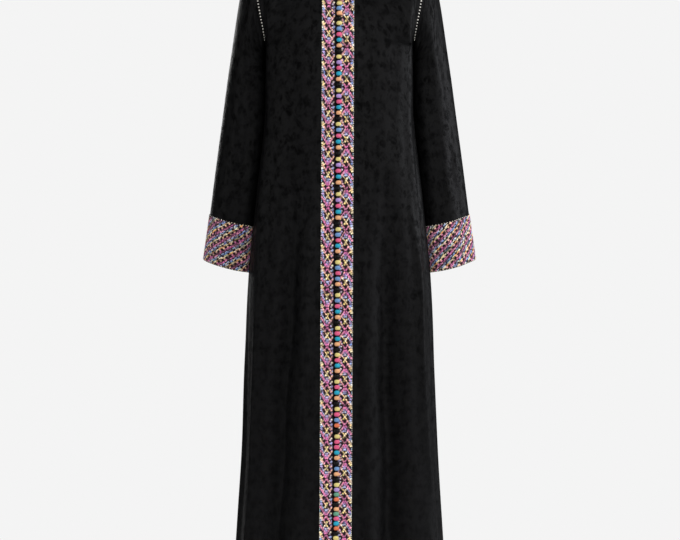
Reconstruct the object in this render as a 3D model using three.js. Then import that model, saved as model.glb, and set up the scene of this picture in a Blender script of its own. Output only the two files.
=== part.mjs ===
// A floor-length kaftan in black jacquard cloth, filled out as it is when worn, with nobody in it.
// It is cut as two fronts, a back, two set-in sleeves and two deep cuffs of woven trim. A band of the
// same trim runs down each front edge, and a close row of ball buttons covers the opening.
//
// Units are millimetres. +Z is up, the garment faces -Y, and the wearer's left is +X. The origin is
// between the shoulders, at the height where the shoulder seams meet the neck.
import * as THREE from "three";

// ---------------------------------------------------------------- driving sizes
const CLOTH = 1.6; // wall of the body and sleeves
const SEAM = 0.3; // space between two pieces at a seam
const LAY = 0.3; // space between a panel and what is sewn on it
const ARMHOLE_SPACE = 0.75; // sideways, so that 0.3 is left where the armhole slants

const LENGTH = 1430; // from the neck side of the shoulder to the hem
const UNDERARM = 1172; // level of the underarm, counted up from the hem
const SHOULDER = 1446; // level of the shoulder seam

const NECK = { halfWidth: 72, frontDepth: 88, backDepth: 24 };
const TRIM = { inner: 5, outer: 36, thick: 1.1 }; // reach from the front opening
const CUFF = { thick: 1.2, overhang: 0.8 };
const BUTTON = { pitch: 12.02, halfWidth: 6.2, halfDepth: 4.9, halfHeight: 5.5, neck: 1.3 };
const BUTTONS = { rows: 14, perRow: 8, aside: 2.2, height: 6.3, belowNeck: 8 };

const SQUARENESS = 0.7; // power of the section's sine and cosine: 1 is an ellipse, 0 a box
const SLOPE = 1.3; // how a section falls from its centre to its edge: 1 is a straight line

// ---------------------------------------------------------------- tables
// Sections of the body, from hem to shoulder seam. Each runs from its centre point (x = 0) to its
// edge point, which is on the side seam up to the underarm and on the armhole above it.
const FRONT = [
  { level: 0, centreY: -172, centreZ: -1430, edgeX: 235.3, edgeY: 0, edgeZ: -1430 },
  { level: 240, centreY: -160, centreZ: -1190, edgeX: 217.5, edgeY: 0, edgeZ: -1190 },
  { level: 470, centreY: -149, centreZ: -960, edgeX: 210.5, edgeY: 0, edgeZ: -960 },
  { level: 678, centreY: -139, centreZ: -752, edgeX: 202.5, edgeY: 0, edgeZ: -752 },
  { level: 830, centreY: -131, centreZ: -600, edgeX: 186.5, edgeY: 0, edgeZ: -600 },
  { level: 1010, centreY: -123, centreZ: -420, edgeX: 167, edgeY: 0, edgeZ: -420 },
  { level: 1100, centreY: -121, centreZ: -330, edgeX: 166.4, edgeY: 0, edgeZ: -330 },
  { level: 1172, centreY: -118, centreZ: -258, edgeX: 166.2, edgeY: 0, edgeZ: -258 },
  { level: 1203, centreY: -115, centreZ: -226, edgeX: 165.5, edgeY: -30, edgeZ: -249 },
  { level: 1239, centreY: -109, centreZ: -189, edgeX: 168, edgeY: -54, edgeZ: -222 },
  { level: 1295, centreY: -90, centreZ: -131, edgeX: 177, edgeY: -63, edgeZ: -168 },
  { level: 1355, centreY: -66, centreZ: -67, edgeX: 186, edgeY: -53, edgeZ: -109 },
  { level: 1399, centreY: -42, centreZ: -23, edgeX: 192, edgeY: -32, edgeZ: -71 },
  { level: 1427, centreY: -20, centreZ: 6, edgeX: 195, edgeY: -16, edgeZ: -54 },
  { level: 1446, centreY: 0, centreZ: 18.6, edgeX: 196, edgeY: 0, edgeZ: -50 },
];
const BACK = [
  { level: 0, centreY: 168, centreZ: -1430, edgeX: 235.3, edgeY: 0, edgeZ: -1430 },
  { level: 240, centreY: 152, centreZ: -1190, edgeX: 217.5, edgeY: 0, edgeZ: -1190 },
  { level: 470, centreY: 139, centreZ: -960, edgeX: 210.5, edgeY: 0, edgeZ: -960 },
  { level: 678, centreY: 128, centreZ: -752, edgeX: 202.5, edgeY: 0, edgeZ: -752 },
  { level: 830, centreY: 116, centreZ: -600, edgeX: 186.5, edgeY: 0, edgeZ: -600 },
  { level: 1010, centreY: 94, centreZ: -420, edgeX: 167, edgeY: 0, edgeZ: -420 },
  { level: 1100, centreY: 95, centreZ: -330, edgeX: 166.4, edgeY: 0, edgeZ: -330 },
  { level: 1172, centreY: 98, centreZ: -258, edgeX: 166.2, edgeY: 0, edgeZ: -258 },
  { level: 1203, centreY: 99, centreZ: -227, edgeX: 165.5, edgeY: 30, edgeZ: -248 },
  { level: 1239, centreY: 98, centreZ: -190, edgeX: 167, edgeY: 53, edgeZ: -218 },
  { level: 1295, centreY: 91, centreZ: -132, edgeX: 175, edgeY: 65, edgeZ: -160 },
  { level: 1355, centreY: 74, centreZ: -68, edgeX: 185, edgeY: 56, edgeZ: -102 },
  { level: 1399, centreY: 50, centreZ: -22, edgeX: 191, edgeY: 38, edgeZ: -68 },
  { level: 1427, centreY: 25, centreZ: 7, edgeX: 195, edgeY: 19, edgeZ: -54 },
  { level: 1446, centreY: 0, centreZ: 18.6, edgeX: 196, edgeY: 0, edgeZ: -50 },
];

// Folds that run down a panel. "share" is the way across from the centre (0) to the edge (1), and
// "out" is how far the cloth stands out there, or in where it is negative.
const FOLDS = [
  {
    name: "front side ridge", panel: FRONT, width: 0.06,
    path: [
      { level: 0, share: 0.57, out: 9 }, { level: 240, share: 0.583, out: 8 },
      { level: 470, share: 0.562, out: 7 }, { level: 678, share: 0.592, out: 5 },
      { level: 830, share: 0.645, out: 4.5 }, { level: 1010, share: 0.66, out: 4 },
      { level: 1172, share: 0.655, out: 4 }, { level: 1295, share: 0.58, out: 4 },
      { level: 1399, share: 0.5, out: 0 },
    ],
  },
  {
    name: "front valley", panel: FRONT, width: 0.1,
    path: [
      { level: 0, share: 0.33, out: -13 }, { level: 300, share: 0.33, out: -9 },
      { level: 678, share: 0.34, out: -5 }, { level: 1010, share: 0.36, out: -1 },
      { level: 1172, share: 0.38, out: 0 },
    ],
  },
  {
    name: "front side hollow", panel: FRONT, width: 0.07,
    path: [
      { level: 0, share: 0.77, out: -8 }, { level: 470, share: 0.78, out: -6 },
      { level: 678, share: 0.8, out: -2 }, { level: 830, share: 0.8, out: 0 },
    ],
  },
  {
    name: "hollow beside the armhole", panel: FRONT, width: 0.1,
    path: [
      { level: 1010, share: 0.84, out: 0 }, { level: 1172, share: 0.86, out: -3 },
      { level: 1295, share: 0.8, out: -7 }, { level: 1399, share: 0.78, out: 0 },
    ],
  },
  {
    name: "back inner ridge", panel: BACK, width: 0.09,
    path: [
      { level: 0, share: 0.24, out: 10 }, { level: 470, share: 0.23, out: 7 },
      { level: 1010, share: 0.22, out: 2 }, { level: 1240, share: 0.22, out: 0 },
    ],
  },
  {
    name: "back valley", panel: BACK, width: 0.08,
    path: [
      { level: 0, share: 0.43, out: -12 }, { level: 470, share: 0.43, out: -8 },
      { level: 1010, share: 0.44, out: -2 }, { level: 1172, share: 0.45, out: 0 },
    ],
  },
  {
    name: "back side ridge", panel: BACK, width: 0.07,
    path: [
      { level: 0, share: 0.63, out: 9 }, { level: 678, share: 0.64, out: 5 },
      { level: 1172, share: 0.66, out: 3 }, { level: 1355, share: 0.6, out: 0 },
    ],
  },
];

// How far the hanging sleeve presses the body's side in, just behind the side seam.
const PRESS = {
  share: 0.16, width: 0.13,
  path: [
    { level: 480, out: 0 }, { level: 580, out: -6 }, { level: 678, out: -17 },
    { level: 760, out: -18 }, { level: 830, out: -16 }, { level: 1010, out: -12 },
    { level: 1100, out: -9 }, { level: 1150, out: -3.5 }, { level: 1172, out: 0 },
  ],
};

// The front opening leans a little towards the wearer's right as it falls.
const LEAN = [
  { level: 0, x: -13 }, { level: 240, x: -11 }, { level: 680, x: -8.5 },
  { level: 1010, x: -6.5 }, { level: 1260, x: -5 }, { level: 1446, x: -3 },
];

// Rings of the sleeve below the underarm: where its outer and inner lines pass, how deep it is from
// front to back, and how far its front hangs below its back.
const SLEEVE = [
  { along: 0, outerX: 240.2, outerZ: -262, innerX: 166, innerZ: -292, halfDepth: 66, centreY: 24, drop: 2 },
  { along: 70, outerX: 250.2, outerZ: -330, innerX: 162.2, innerZ: -354, halfDepth: 64, centreY: 27, drop: 3 },
  { along: 152, outerX: 261, outerZ: -412, innerX: 164, innerZ: -434, halfDepth: 62, centreY: 28, drop: 4 },
  { along: 253, outerX: 274.5, outerZ: -512, innerX: 173.5, innerZ: -535, halfDepth: 59, centreY: 28, drop: 5 },
  { along: 368, outerX: 289, outerZ: -626, innerX: 187, innerZ: -652, halfDepth: 56, centreY: 28, drop: 6 },
  { along: 470, outerX: 303, outerZ: -726, innerX: 196, innerZ: -754, halfDepth: 52, centreY: 28, drop: 7 },
];
const CUFF_TOP = 368; // where the cuff starts, along the sleeve
const SLEEVE_END = 470;
const CAP_TURN = { top: [0.34, 0, -0.94], underarm: [0.45, 0, -0.89] }; // how the cap leaves the armhole

// ---------------------------------------------------------------- grid lines of the model
const SKIRT_LEVELS = [0, 110, 220, 340, 470, 575, 678, 760, 830, 920, 1010, 1100, 1172];
const ARMHOLE_STEPS = 9;
const ARMHOLE_LEVELS = Array.from(
  { length: ARMHOLE_STEPS },
  (_, i) => UNDERARM + ((SHOULDER - UNDERARM) * (i + 1)) / ARMHOLE_STEPS,
);
const ROWS = [...SKIRT_LEVELS, ...ARMHOLE_LEVELS];
const NECK_DISTANCES = { front: [50, 62, 69], back: [0, 26, 48, 65] };
const FRONT_SHARES = [0.4, 0.47, 0.54, 0.61, 0.68, 0.76, 0.84, 0.92, 1];
const BACK_SHARES = [0.4, 0.5, 0.6, 0.7, 0.8, 0.9, 1];
const CAP_STEPS = 6;
const TUBE_STEPS = 6;
const CUFF_STEPS = 2;
const BUTTON_SIDES = 8;

// ---------------------------------------------------------------- curves through the tables
// The value of one column at a place between rows: a cubic through the rows with even slopes.
function along(table, key, column, at) {
  const last = table.length - 1;
  if (at <= table[0][key]) return table[0][column];
  if (at >= table[last][key]) return table[last][column];
  let i = 0;
  while (table[i + 1][key] < at) i++;
  const slope = (k) => {
    const before = table[Math.max(k - 1, 0)];
    const after = table[Math.min(k + 1, last)];
    return (after[column] - before[column]) / (after[key] - before[key]);
  };
  const step = table[i + 1][key] - table[i][key];
  const t = (at - table[i][key]) / step;
  return (
    table[i][column] * (1 + 2 * t) * (1 - t) ** 2 +
    table[i + 1][column] * t * t * (3 - 2 * t) +
    slope(i) * step * t * (1 - t) ** 2 -
    slope(i + 1) * step * t * t * (1 - t)
  );
}
const atLevel = (table, column, level) => along(table, "level", column, level);

// A bell around a place across the panel.
const bell = (distance, width) => Math.exp(-((distance / width) ** 2));

// ---------------------------------------------------------------- the body's surface
// Spreads the section's angle evenly: its power form alone would crowd both ends.
const SPREAD_POWER = 1 / SQUARENESS;
function quarterTurn(share) {
  const near = share ** SPREAD_POWER;
  const far = (1 - share) ** SPREAD_POWER;
  return ((Math.PI / 2) * near) / (near + far);
}

// The share of the way across at which a section is this far from its centre line.
function shareAt(panel, distance, level) {
  const reach = atLevel(panel, "edgeX", level);
  const turn = Math.asin(Math.min(1, distance / reach) ** SPREAD_POWER) / (Math.PI / 2);
  const ratio = (turn / (1 - turn)) ** SQUARENESS;
  return ratio / (1 + ratio);
}

// A point of the outer face of a front or the back, on the wearer's left half (side 1) or right (-1).
function bodyPoint(panel, side, share, level) {
  const angle = quarterTurn(share);
  const sine = Math.sin(angle) ** SQUARENESS;
  const cosine = Math.cos(angle) ** SQUARENESS;
  const [centreY, centreZ, edgeX, edgeY, edgeZ] = ["centreY", "centreZ", "edgeX", "edgeY", "edgeZ"].map(
    (column) => atLevel(panel, column, level),
  );
  let out = 0;
  for (const fold of FOLDS) {
    if (fold.panel !== panel) continue;
    out += atLevel(fold.path, "out", level) * bell(share - atLevel(fold.path, "share", level), fold.width);
  }
  const behindSeam = panel === BACK ? 1 - share : share - 1;
  out += atLevel(PRESS.path, "out", level) * bell(behindSeam - PRESS.share, PRESS.width);
  const forward = panel === BACK ? 1 : -1;
  const lean = panel === BACK ? 0 : atLevel(LEAN, "x", level) * (1 - share) ** 2;
  return new THREE.Vector3(
    side * (edgeX * sine + out * Math.sin(angle)) + lean,
    edgeY + (centreY - edgeY) * cosine + forward * out * Math.cos(angle),
    centreZ + (edgeZ - centreZ) * sine ** SLOPE,
  );
}

// The level at which a line up the panel ends: on the neck edge near the centre, else on the shoulder.
function topLevel(panel, shareOf) {
  const depth = panel === BACK ? NECK.backDepth : NECK.frontDepth;
  const insideNeck = (level) => {
    const p = bodyPoint(panel, 1, shareOf(level), level);
    const x = p.x - (panel === BACK ? 0 : atLevel(LEAN, "x", level) * (1 - shareOf(level)) ** 2);
    return p.z > 0 ? x < NECK.halfWidth : (x / NECK.halfWidth) ** 2 + (p.z / depth) ** 2 < 1;
  };
  if (!insideNeck(SHOULDER - 0.01)) return SHOULDER;
  let low = UNDERARM;
  let high = SHOULDER;
  for (let i = 0; i < 30; i++) {
    const middle = (low + high) / 2;
    if (insideNeck(middle)) high = middle;
    else low = middle;
  }
  return high;
}

// The points of one line up a panel: all the rows, squeezed above the underarm to end at its top.
function lineUp(panel, side, shareOf) {
  const squeeze = (topLevel(panel, shareOf) - UNDERARM) / (SHOULDER - UNDERARM);
  return ROWS.map((row) => {
    const level = row <= UNDERARM ? row : UNDERARM + (row - UNDERARM) * squeeze;
    return bodyPoint(panel, side, shareOf(level), level);
  });
}

// ---------------------------------------------------------------- solids from grids of points
// Outward directions of a grid's points, from their neighbours. "round" grids close on themselves.
function outward(grid, round, flip) {
  const count = grid[0].length;
  const neighbour = (j, i) => {
    const row = grid[Math.min(Math.max(j, 0), grid.length - 1)];
    return row[round ? (i + count) % count : Math.min(Math.max(i, 0), count - 1)];
  };
  return grid.map((row, j) =>
    row.map((_, i) => {
      const across = neighbour(j, i + 1).clone().sub(neighbour(j, i - 1));
      const up = neighbour(j + 1, i).clone().sub(neighbour(j - 1, i));
      return across.cross(up).normalize().multiplyScalar(flip);
    }),
  );
}

const moved = (grid, directions, distance) =>
  grid.map((row, j) => row.map((p, i) => p.clone().addScaledVector(directions[j][i], distance)));

// A closed wall between an outer and an inner grid of points of the same size.
function wall(outer, inner, round) {
  const rows = outer.length;
  const count = outer[0].length;
  const spans = round ? count : count - 1;
  const points = [...outer.flat(), ...inner.flat()];
  const index = [];
  const at = (layer, j, i) => layer * rows * count + j * count + (i % count);
  const face = (a, b, c, d) => index.push(a, b, c, a, c, d);
  for (let j = 0; j < rows - 1; j++) {
    for (let i = 0; i < spans; i++) {
      face(at(0, j, i), at(0, j, i + 1), at(0, j + 1, i + 1), at(0, j + 1, i));
      face(at(1, j, i), at(1, j + 1, i), at(1, j + 1, i + 1), at(1, j, i + 1));
    }
    if (!round) {
      face(at(0, j, 0), at(0, j + 1, 0), at(1, j + 1, 0), at(1, j, 0));
      face(at(0, j + 1, spans), at(0, j, spans), at(1, j, spans), at(1, j + 1, spans));
    }
  }
  const top = rows - 1;
  for (let i = 0; i < spans; i++) {
    face(at(0, 0, i + 1), at(0, 0, i), at(1, 0, i), at(1, 0, i + 1));
    face(at(0, top, i), at(0, top, i + 1), at(1, top, i + 1), at(1, top, i));
  }
  return facingOut(points, index);
}

// A closed string of rings, with a point at each end.
function string(rings, start, end) {
  const count = rings[0].length;
  const points = [...rings.flat(), start, end];
  const index = [];
  const at = (j, i) => j * count + (i % count);
  for (let i = 0; i < count; i++) {
    for (let j = 0; j < rings.length - 1; j++) {
      index.push(at(j, i), at(j, i + 1), at(j + 1, i + 1), at(j, i), at(j + 1, i + 1), at(j + 1, i));
    }
    index.push(points.length - 2, at(0, i + 1), at(0, i));
    index.push(points.length - 1, at(rings.length - 1, i), at(rings.length - 1, i + 1));
  }
  return facingOut(points, index);
}

// Geometry whose faces point out, whichever way round its grid ran.
function facingOut(points, index) {
  let volume = 0;
  for (let i = 0; i < index.length; i += 3) {
    const [a, b, c] = [points[index[i]], points[index[i + 1]], points[index[i + 2]]];
    volume += a.dot(b.clone().cross(c));
  }
  if (volume < 0) index.reverse();
  return new THREE.BufferGeometry().setFromPoints(points).setIndex(index);
}

// ---------------------------------------------------------------- materials
const jacquard = new THREE.MeshStandardMaterial({ color: 0x151517, roughness: 0.62, metalness: 0 });
const wovenTrim = new THREE.MeshStandardMaterial({ color: 0xb07a9a, roughness: 0.55, metalness: 0 });
const buttonThread = new THREE.MeshStandardMaterial({ color: 0x3fb6cf, roughness: 0.4, metalness: 0 });

// ---------------------------------------------------------------- pieces
// Lines up half a panel. Each gives its share of the way across at a level. The lines that end on the
// neck keep a set distance from the centre, so that the trim can be made from the first of them, and
// one line meets the corner of the neck and the shoulder.
function linesOf(panel, distances, shares) {
  const corner = shareAt(panel, NECK.halfWidth, SHOULDER) + 1e-4;
  const keepingDistance = distances.map((distance) => (level) => shareAt(panel, distance, level));
  return [...keepingDistance, () => corner, ...shares.map((share) => () => share)];
}
const TRIM_DISTANCES = [TRIM.inner, (TRIM.inner + TRIM.outer) / 2, TRIM.outer];
const frontLines = () =>
  linesOf(FRONT, [SEAM / 2, ...TRIM_DISTANCES, ...NECK_DISTANCES.front], FRONT_SHARES);
const backLines = () => linesOf(BACK, NECK_DISTANCES.back, BACK_SHARES);

// Turns a wall's thickness into the plane of a seam, so that the two pieces there stay parallel.
function squareUp(directions, rows, columns, axis) {
  for (const j of rows) {
    for (const i of columns) {
      directions[j][i][axis] = 0;
      directions[j][i].normalize();
    }
  }
}

const rowsOf = (lines) => ROWS.map((_, j) => lines.map((line) => line[j]));
const span = (from, to) => Array.from({ length: to - from }, (_, i) => from + i);
const TOP_ROW = ROWS.length - 1;
const SEAM_ROWS = span(0, SKIRT_LEVELS.length);

// A front's outer grid and its outward directions, with the seam allowance taken off its edges.
function frontGrid(side) {
  const lines = frontLines();
  const grid = rowsOf(lines.map((shareOf) => lineUp(FRONT, side, shareOf)));
  const edge = lines.length - 1;
  const out = outward(grid, false, side);
  squareUp(out, span(0, ROWS.length), [0], "x");
  squareUp(out, SEAM_ROWS, [edge], "y");
  squareUp(out, [TOP_ROW], span(0, lines.length), "y");
  for (const j of SEAM_ROWS) grid[j][edge].y -= SEAM / 2;
  for (const [i, shareOf] of lines.entries()) {
    if (topLevel(FRONT, shareOf) === SHOULDER) grid[TOP_ROW][i].y -= SEAM / 2;
  }
  return { grid, out };
}

function front(side) {
  const { grid, out } = frontGrid(side);
  return wall(grid, moved(grid, out, -CLOTH), false);
}

// The back, in one piece from one side seam to the other.
function back() {
  const half = backLines();
  const left = half.map((shareOf) => lineUp(BACK, 1, shareOf));
  const right = half.slice(1).map((shareOf) => lineUp(BACK, -1, shareOf));
  const grid = rowsOf([...right.reverse(), ...left]);
  const edge = grid[0].length - 1;
  const out = outward(grid, false, -1);
  squareUp(out, SEAM_ROWS, [0, edge], "y");
  squareUp(out, [TOP_ROW], span(0, edge + 1), "y");
  for (const j of SEAM_ROWS) for (const i of [0, edge]) grid[j][i].y += SEAM / 2;
  const shares = [...half.slice(1).reverse(), ...half];
  shares.forEach((shareOf, i) => {
    if (topLevel(BACK, shareOf) === SHOULDER) grid[TOP_ROW][i].y += SEAM / 2;
  });
  return wall(grid, moved(grid, out, -CLOTH), false);
}

// A band of trim on a front, made from the front's own lines and moved out from it.
function trim(side) {
  const { grid, out } = frontGrid(side);
  const under = grid.map((row) => row.slice(1, 4));
  const up = out.map((row) => row.slice(1, 4));
  return wall(moved(under, up, LAY + TRIM.thick), moved(under, up, LAY), false);
}

// The armhole's edge as a loop from the shoulder, down the front, under the arm and up the back.
function armholeLoop(side) {
  const levels = [UNDERARM, ...ARMHOLE_LEVELS];
  const frontEdge = levels.map((level) => bodyPoint(FRONT, side, 1, level)).reverse();
  const backEdge = levels.map((level) => bodyPoint(BACK, side, 1, level));
  return [...frontEdge, ...backEdge.slice(1, -1)];
}

// A ring of the sleeve, starting at its outer line and passing the front first.
function sleeveRing(side, place) {
  const get = (column) => along(SLEEVE, "along", column, place);
  const centreX = (get("outerX") + get("innerX")) / 2;
  const centreZ = (get("outerZ") + get("innerZ")) / 2;
  return Array.from({ length: 2 * ARMHOLE_STEPS }, (_, i) => {
    const angle = (Math.PI * i) / ARMHOLE_STEPS;
    return new THREE.Vector3(
      side * (centreX + (get("outerX") - centreX) * Math.cos(angle)),
      get("centreY") - get("halfDepth") * Math.sin(angle),
      centreZ + (get("outerZ") - centreZ) * Math.cos(angle) - get("drop") * Math.sin(angle),
    );
  });
}

// The sleeve's outer grid: the cap, which turns from the armhole into the first ring, then the tube.
function sleeveGrid(side) {
  const loop = armholeLoop(side).map((p) => p.clone().add(new THREE.Vector3(side * ARMHOLE_SPACE, 0, 0)));
  const first = sleeveRing(side, 0);
  const second = sleeveRing(side, 20);
  const cap = span(0, CAP_STEPS).map((step) => {
    const t = step / CAP_STEPS;
    return loop.map((start, i) => {
      const reach = start.distanceTo(first[i]);
      const topness = (1 + Math.cos((Math.PI * i) / ARMHOLE_STEPS)) / 2;
      const leave = new THREE.Vector3(...CAP_TURN.underarm)
        .lerp(new THREE.Vector3(...CAP_TURN.top), topness)
        .multiply(new THREE.Vector3(side, 1, 1))
        .setLength(reach);
      const arrive = second[i].clone().sub(first[i]).setLength(reach);
      return new THREE.Vector3()
        .addScaledVector(start, (1 + 2 * t) * (1 - t) ** 2)
        .addScaledVector(first[i], t * t * (3 - 2 * t))
        .addScaledVector(leave, t * (1 - t) ** 2)
        .addScaledVector(arrive, -t * t * (1 - t));
    });
  });
  const tube = span(0, TUBE_STEPS).map((step) => sleeveRing(side, (CUFF_TOP * step) / TUBE_STEPS));
  return [...cap, ...tube, ...cuffRings(side)];
}

// The rings of the sleeve under the cuff.
const cuffRings = (side) =>
  span(0, CUFF_STEPS + 1).map((step) =>
    sleeveRing(side, CUFF_TOP + ((SLEEVE_END - CUFF_TOP) * step) / CUFF_STEPS),
  );

function sleeve(side) {
  const grid = sleeveGrid(side);
  const out = outward(grid, true, -side);
  squareUp(out, [0], span(0, 2 * ARMHOLE_STEPS), "x");
  return wall(grid, moved(grid, out, -CLOTH), true);
}

// The cuff lies over the sleeve's end and reaches just past it.
function cuff(side) {
  const grid = sleeveGrid(side).slice(-CUFF_STEPS - 1);
  const out = outward(sleeveGrid(side), true, -side).slice(-CUFF_STEPS - 1);
  const end = grid[CUFF_STEPS];
  const before = grid[CUFF_STEPS - 1];
  grid[CUFF_STEPS] = end.map((p, i) =>
    p.clone().add(p.clone().sub(before[i]).setLength(CUFF.overhang)),
  );
  return wall(moved(grid, out, LAY + CUFF.thick), moved(grid, out, LAY), true);
}

// The line that the buttons' centres follow, down the opening and out from the cloth.
function buttonLine() {
  const top = topLevel(FRONT, (level) => shareAt(FRONT, SEAM, level));
  const centre = (level) => {
    const p = bodyPoint(FRONT, 1, shareAt(FRONT, SEAM, level), level);
    return p.add(new THREE.Vector3(BUTTONS.aside, 0, 0));
  };
  const levels = span(0, 241).map((i) => (top * (240 - i)) / 240);
  return new THREE.CatmullRomCurve3(
    levels.map((level) => {
      const along = centre(Math.min(level + 4, top)).sub(centre(Math.max(level - 4, 0)));
      const out = new THREE.Vector3(1, 0, 0).cross(along).normalize();
      return centre(level).addScaledVector(out, BUTTONS.height);
    }),
  );
}

// A few balls in a row, linked by the thread that they are sewn with.
function buttonRow(line, length, row) {
  const start = BUTTONS.belowNeck + row * BUTTONS.perRow * BUTTON.pitch;
  const rings = [];
  const place = (distance, girth) => {
    const centre = line.getPointAt(distance / length);
    const down = line.getTangentAt(distance / length);
    const forward = new THREE.Vector3(1, 0, 0).cross(down).normalize();
    return Array.from({ length: BUTTON_SIDES }, (_, i) => {
      const angle = (2 * Math.PI * (i + 0.5)) / BUTTON_SIDES;
      return centre
        .clone()
        .add(new THREE.Vector3(girth * BUTTON.halfWidth * Math.cos(angle), 0, 0))
        .addScaledVector(forward, girth * BUTTON.halfDepth * Math.sin(angle));
    });
  };
  const shoulderOfBall = 0.5; // where each ball is as wide as its flattened middle
  for (let ball = 0; ball < BUTTONS.perRow; ball++) {
    const middle = start + ball * BUTTON.pitch;
    rings.push(place(middle - BUTTON.halfHeight, BUTTON.neck / BUTTON.halfWidth));
    rings.push(place(middle - BUTTON.halfHeight * shoulderOfBall, 0.95));
    rings.push(place(middle + BUTTON.halfHeight * shoulderOfBall, 0.95));
    rings.push(place(middle + BUTTON.halfHeight, BUTTON.neck / BUTTON.halfWidth));
  }
  const first = line.getPointAt((start - BUTTON.halfHeight) / length);
  const finish = start + (BUTTONS.perRow - 1) * BUTTON.pitch + BUTTON.halfHeight;
  return string(rings, first, line.getPointAt(finish / length));
}

// ---------------------------------------------------------------- assembly
const kaftan = new THREE.Group();
function piece(name, geometry, material) {
  const mesh = new THREE.Mesh(geometry, material);
  mesh.name = name;
  kaftan.add(mesh);
}

piece("back", back(), jacquard);
for (const [name, side] of [["left", 1], ["right", -1]]) {
  piece(`front_${name}`, front(side), jacquard);
  piece(`sleeve_${name}`, sleeve(side), jacquard);
  piece(`cuff_${name}`, cuff(side), wovenTrim);
  piece(`front_trim_${name}`, trim(side), wovenTrim);
}
const line = buttonLine();
const lineLength = line.getLength();
for (let row = 0; row < BUTTONS.rows; row++) {
  const name = `buttons_${String(row + 1).padStart(2, "0")}`;
  piece(name, buttonRow(line, lineLength, row), buttonThread);
}

export default kaftan;
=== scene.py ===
"""A floor-length kaftan dress in black jacquard, filled out as it is worn, with nobody in it.

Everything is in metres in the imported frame: +Z up, the front faces -Y, the wearer's left is +X.
The cloth is worked out from sections of the body and rings of the sleeves. The bands, cuffs,
stitches and buttons are laid on those surfaces.
"""

import math

import bpy
import numpy as np
from bpy.props import FloatProperty, FloatVectorProperty, PointerProperty
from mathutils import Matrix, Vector


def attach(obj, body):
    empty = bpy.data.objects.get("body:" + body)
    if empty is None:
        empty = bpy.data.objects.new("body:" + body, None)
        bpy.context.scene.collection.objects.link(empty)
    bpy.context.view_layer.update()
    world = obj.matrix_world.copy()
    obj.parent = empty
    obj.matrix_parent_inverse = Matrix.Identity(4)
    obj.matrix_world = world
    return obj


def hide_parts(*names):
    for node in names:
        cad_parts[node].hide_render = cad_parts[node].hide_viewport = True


bl_info = {
    "name": "Kaftan Dress",
    "version": (1, 0, 0),
    "blender": (4, 5, 0),
    "location": "View3D > Sidebar > Kaftan",
    "description": "Makes the cloth, woven trims, stitches and ball buttons of a kaftan dress",
    "category": "Object",
}

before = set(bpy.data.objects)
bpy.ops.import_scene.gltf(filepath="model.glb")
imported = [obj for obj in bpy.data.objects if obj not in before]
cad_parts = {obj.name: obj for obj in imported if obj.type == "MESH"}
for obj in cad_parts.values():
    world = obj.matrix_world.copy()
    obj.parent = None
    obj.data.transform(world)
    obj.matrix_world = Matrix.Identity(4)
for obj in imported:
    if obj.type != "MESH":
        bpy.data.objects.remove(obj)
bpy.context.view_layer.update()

# ------------------------------------------------------------------ sizes, in metres
SIDES = (("left", 1), ("right", -1))  # the wearer's, and the way x grows towards each
UNDERARM = 1.172  # levels are counted up from the hem along the cloth
SHOULDER = 1.446
HEM_BELOW = 1.43  # from the origin down to the hem
NECK_HALF_WIDTH = 0.072
NECK_DEPTH = {"front": 0.088, "back": 0.024}
OPENING = 0.0003  # between the two fronts
ARMHOLE_SPACE = 0.00075  # from a panel's edge to the sleeve
SEAM = 0.00004  # a sewn seam is pulled closer than the solids are
HEM = 0.026  # what is turned up
HEM_FOLD, HEM_STEP = 0.0005, 0.002  # how much thicker that is, and the way over which it gets so
HEM_DENT, HEM_DENT_WIDTH = 0.0004, 0.0015  # at the hem's line of stitches
SQUARENESS = 0.7  # power of a section's sine and cosine
SLOPE = 1.3  # how a section falls from its centre to its edge
COLUMNS, ROWS = 76, 300  # lines across a front or half the back, and up it
TURNS = np.linspace(0, 1, 97)[:-1]  # lines round a sleeve

CUFF_TOP, SLEEVE_END = 0.368, 0.470
CUFF_DEPTH = SLEEVE_END - CUFF_TOP
CUFF_SLANT = 0.0008  # how much longer than that the slanting front of the sleeve is
LAY = 0.0003  # space between a panel and what is sewn on it
RIBBON = 0.0006  # thickness of the woven ground under the braid
BRAID_LIFT = LAY + RIBBON + 0.0003  # from a panel to the middle of the braid's stitches
LOOP_PITCH, LOOP_LENGTH = 0.0044, 0.0018  # of the loops along a band's edge
LOOP_HALF = 0.0008  # half a loop's width and height
LOOP_STRAY = 0.0003  # how far one lies off its place
LOOP_ENDS = (0.003, 0.002)  # from a band's top and bottom to its loops
LOOPS_ROUND = 54  # loops round a cuff
CUFF_LOOP, CUFF_LOOP_STRAY = 0.0066, 0.001  # their length, and how far one lies off its place, in turns
CUFF_LOOP_LIFT = LAY + RIBBON + 0.0004  # from the sleeve to their middle
ARMHOLE_STITCHES = (-0.985, -0.95)  # along a sleeve's cap: their line, and a place further from the body
ARMHOLE_STITCH_LIFT = 0.0005
ARMHOLE_STITCH_LENGTHS = (0.0023, 0.0028)  # of the shortest and the longest
ARMHOLE_STITCH_HALVES = (0.0017, 0.0012)  # half the width and height of one
ARMHOLE_STITCHES_END = -0.243  # they stop at this height, above the underarm

BUTTON_COUNT = 112
BUTTON_ASIDE = 0.0046  # from the opening, towards the wearer's left
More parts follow.
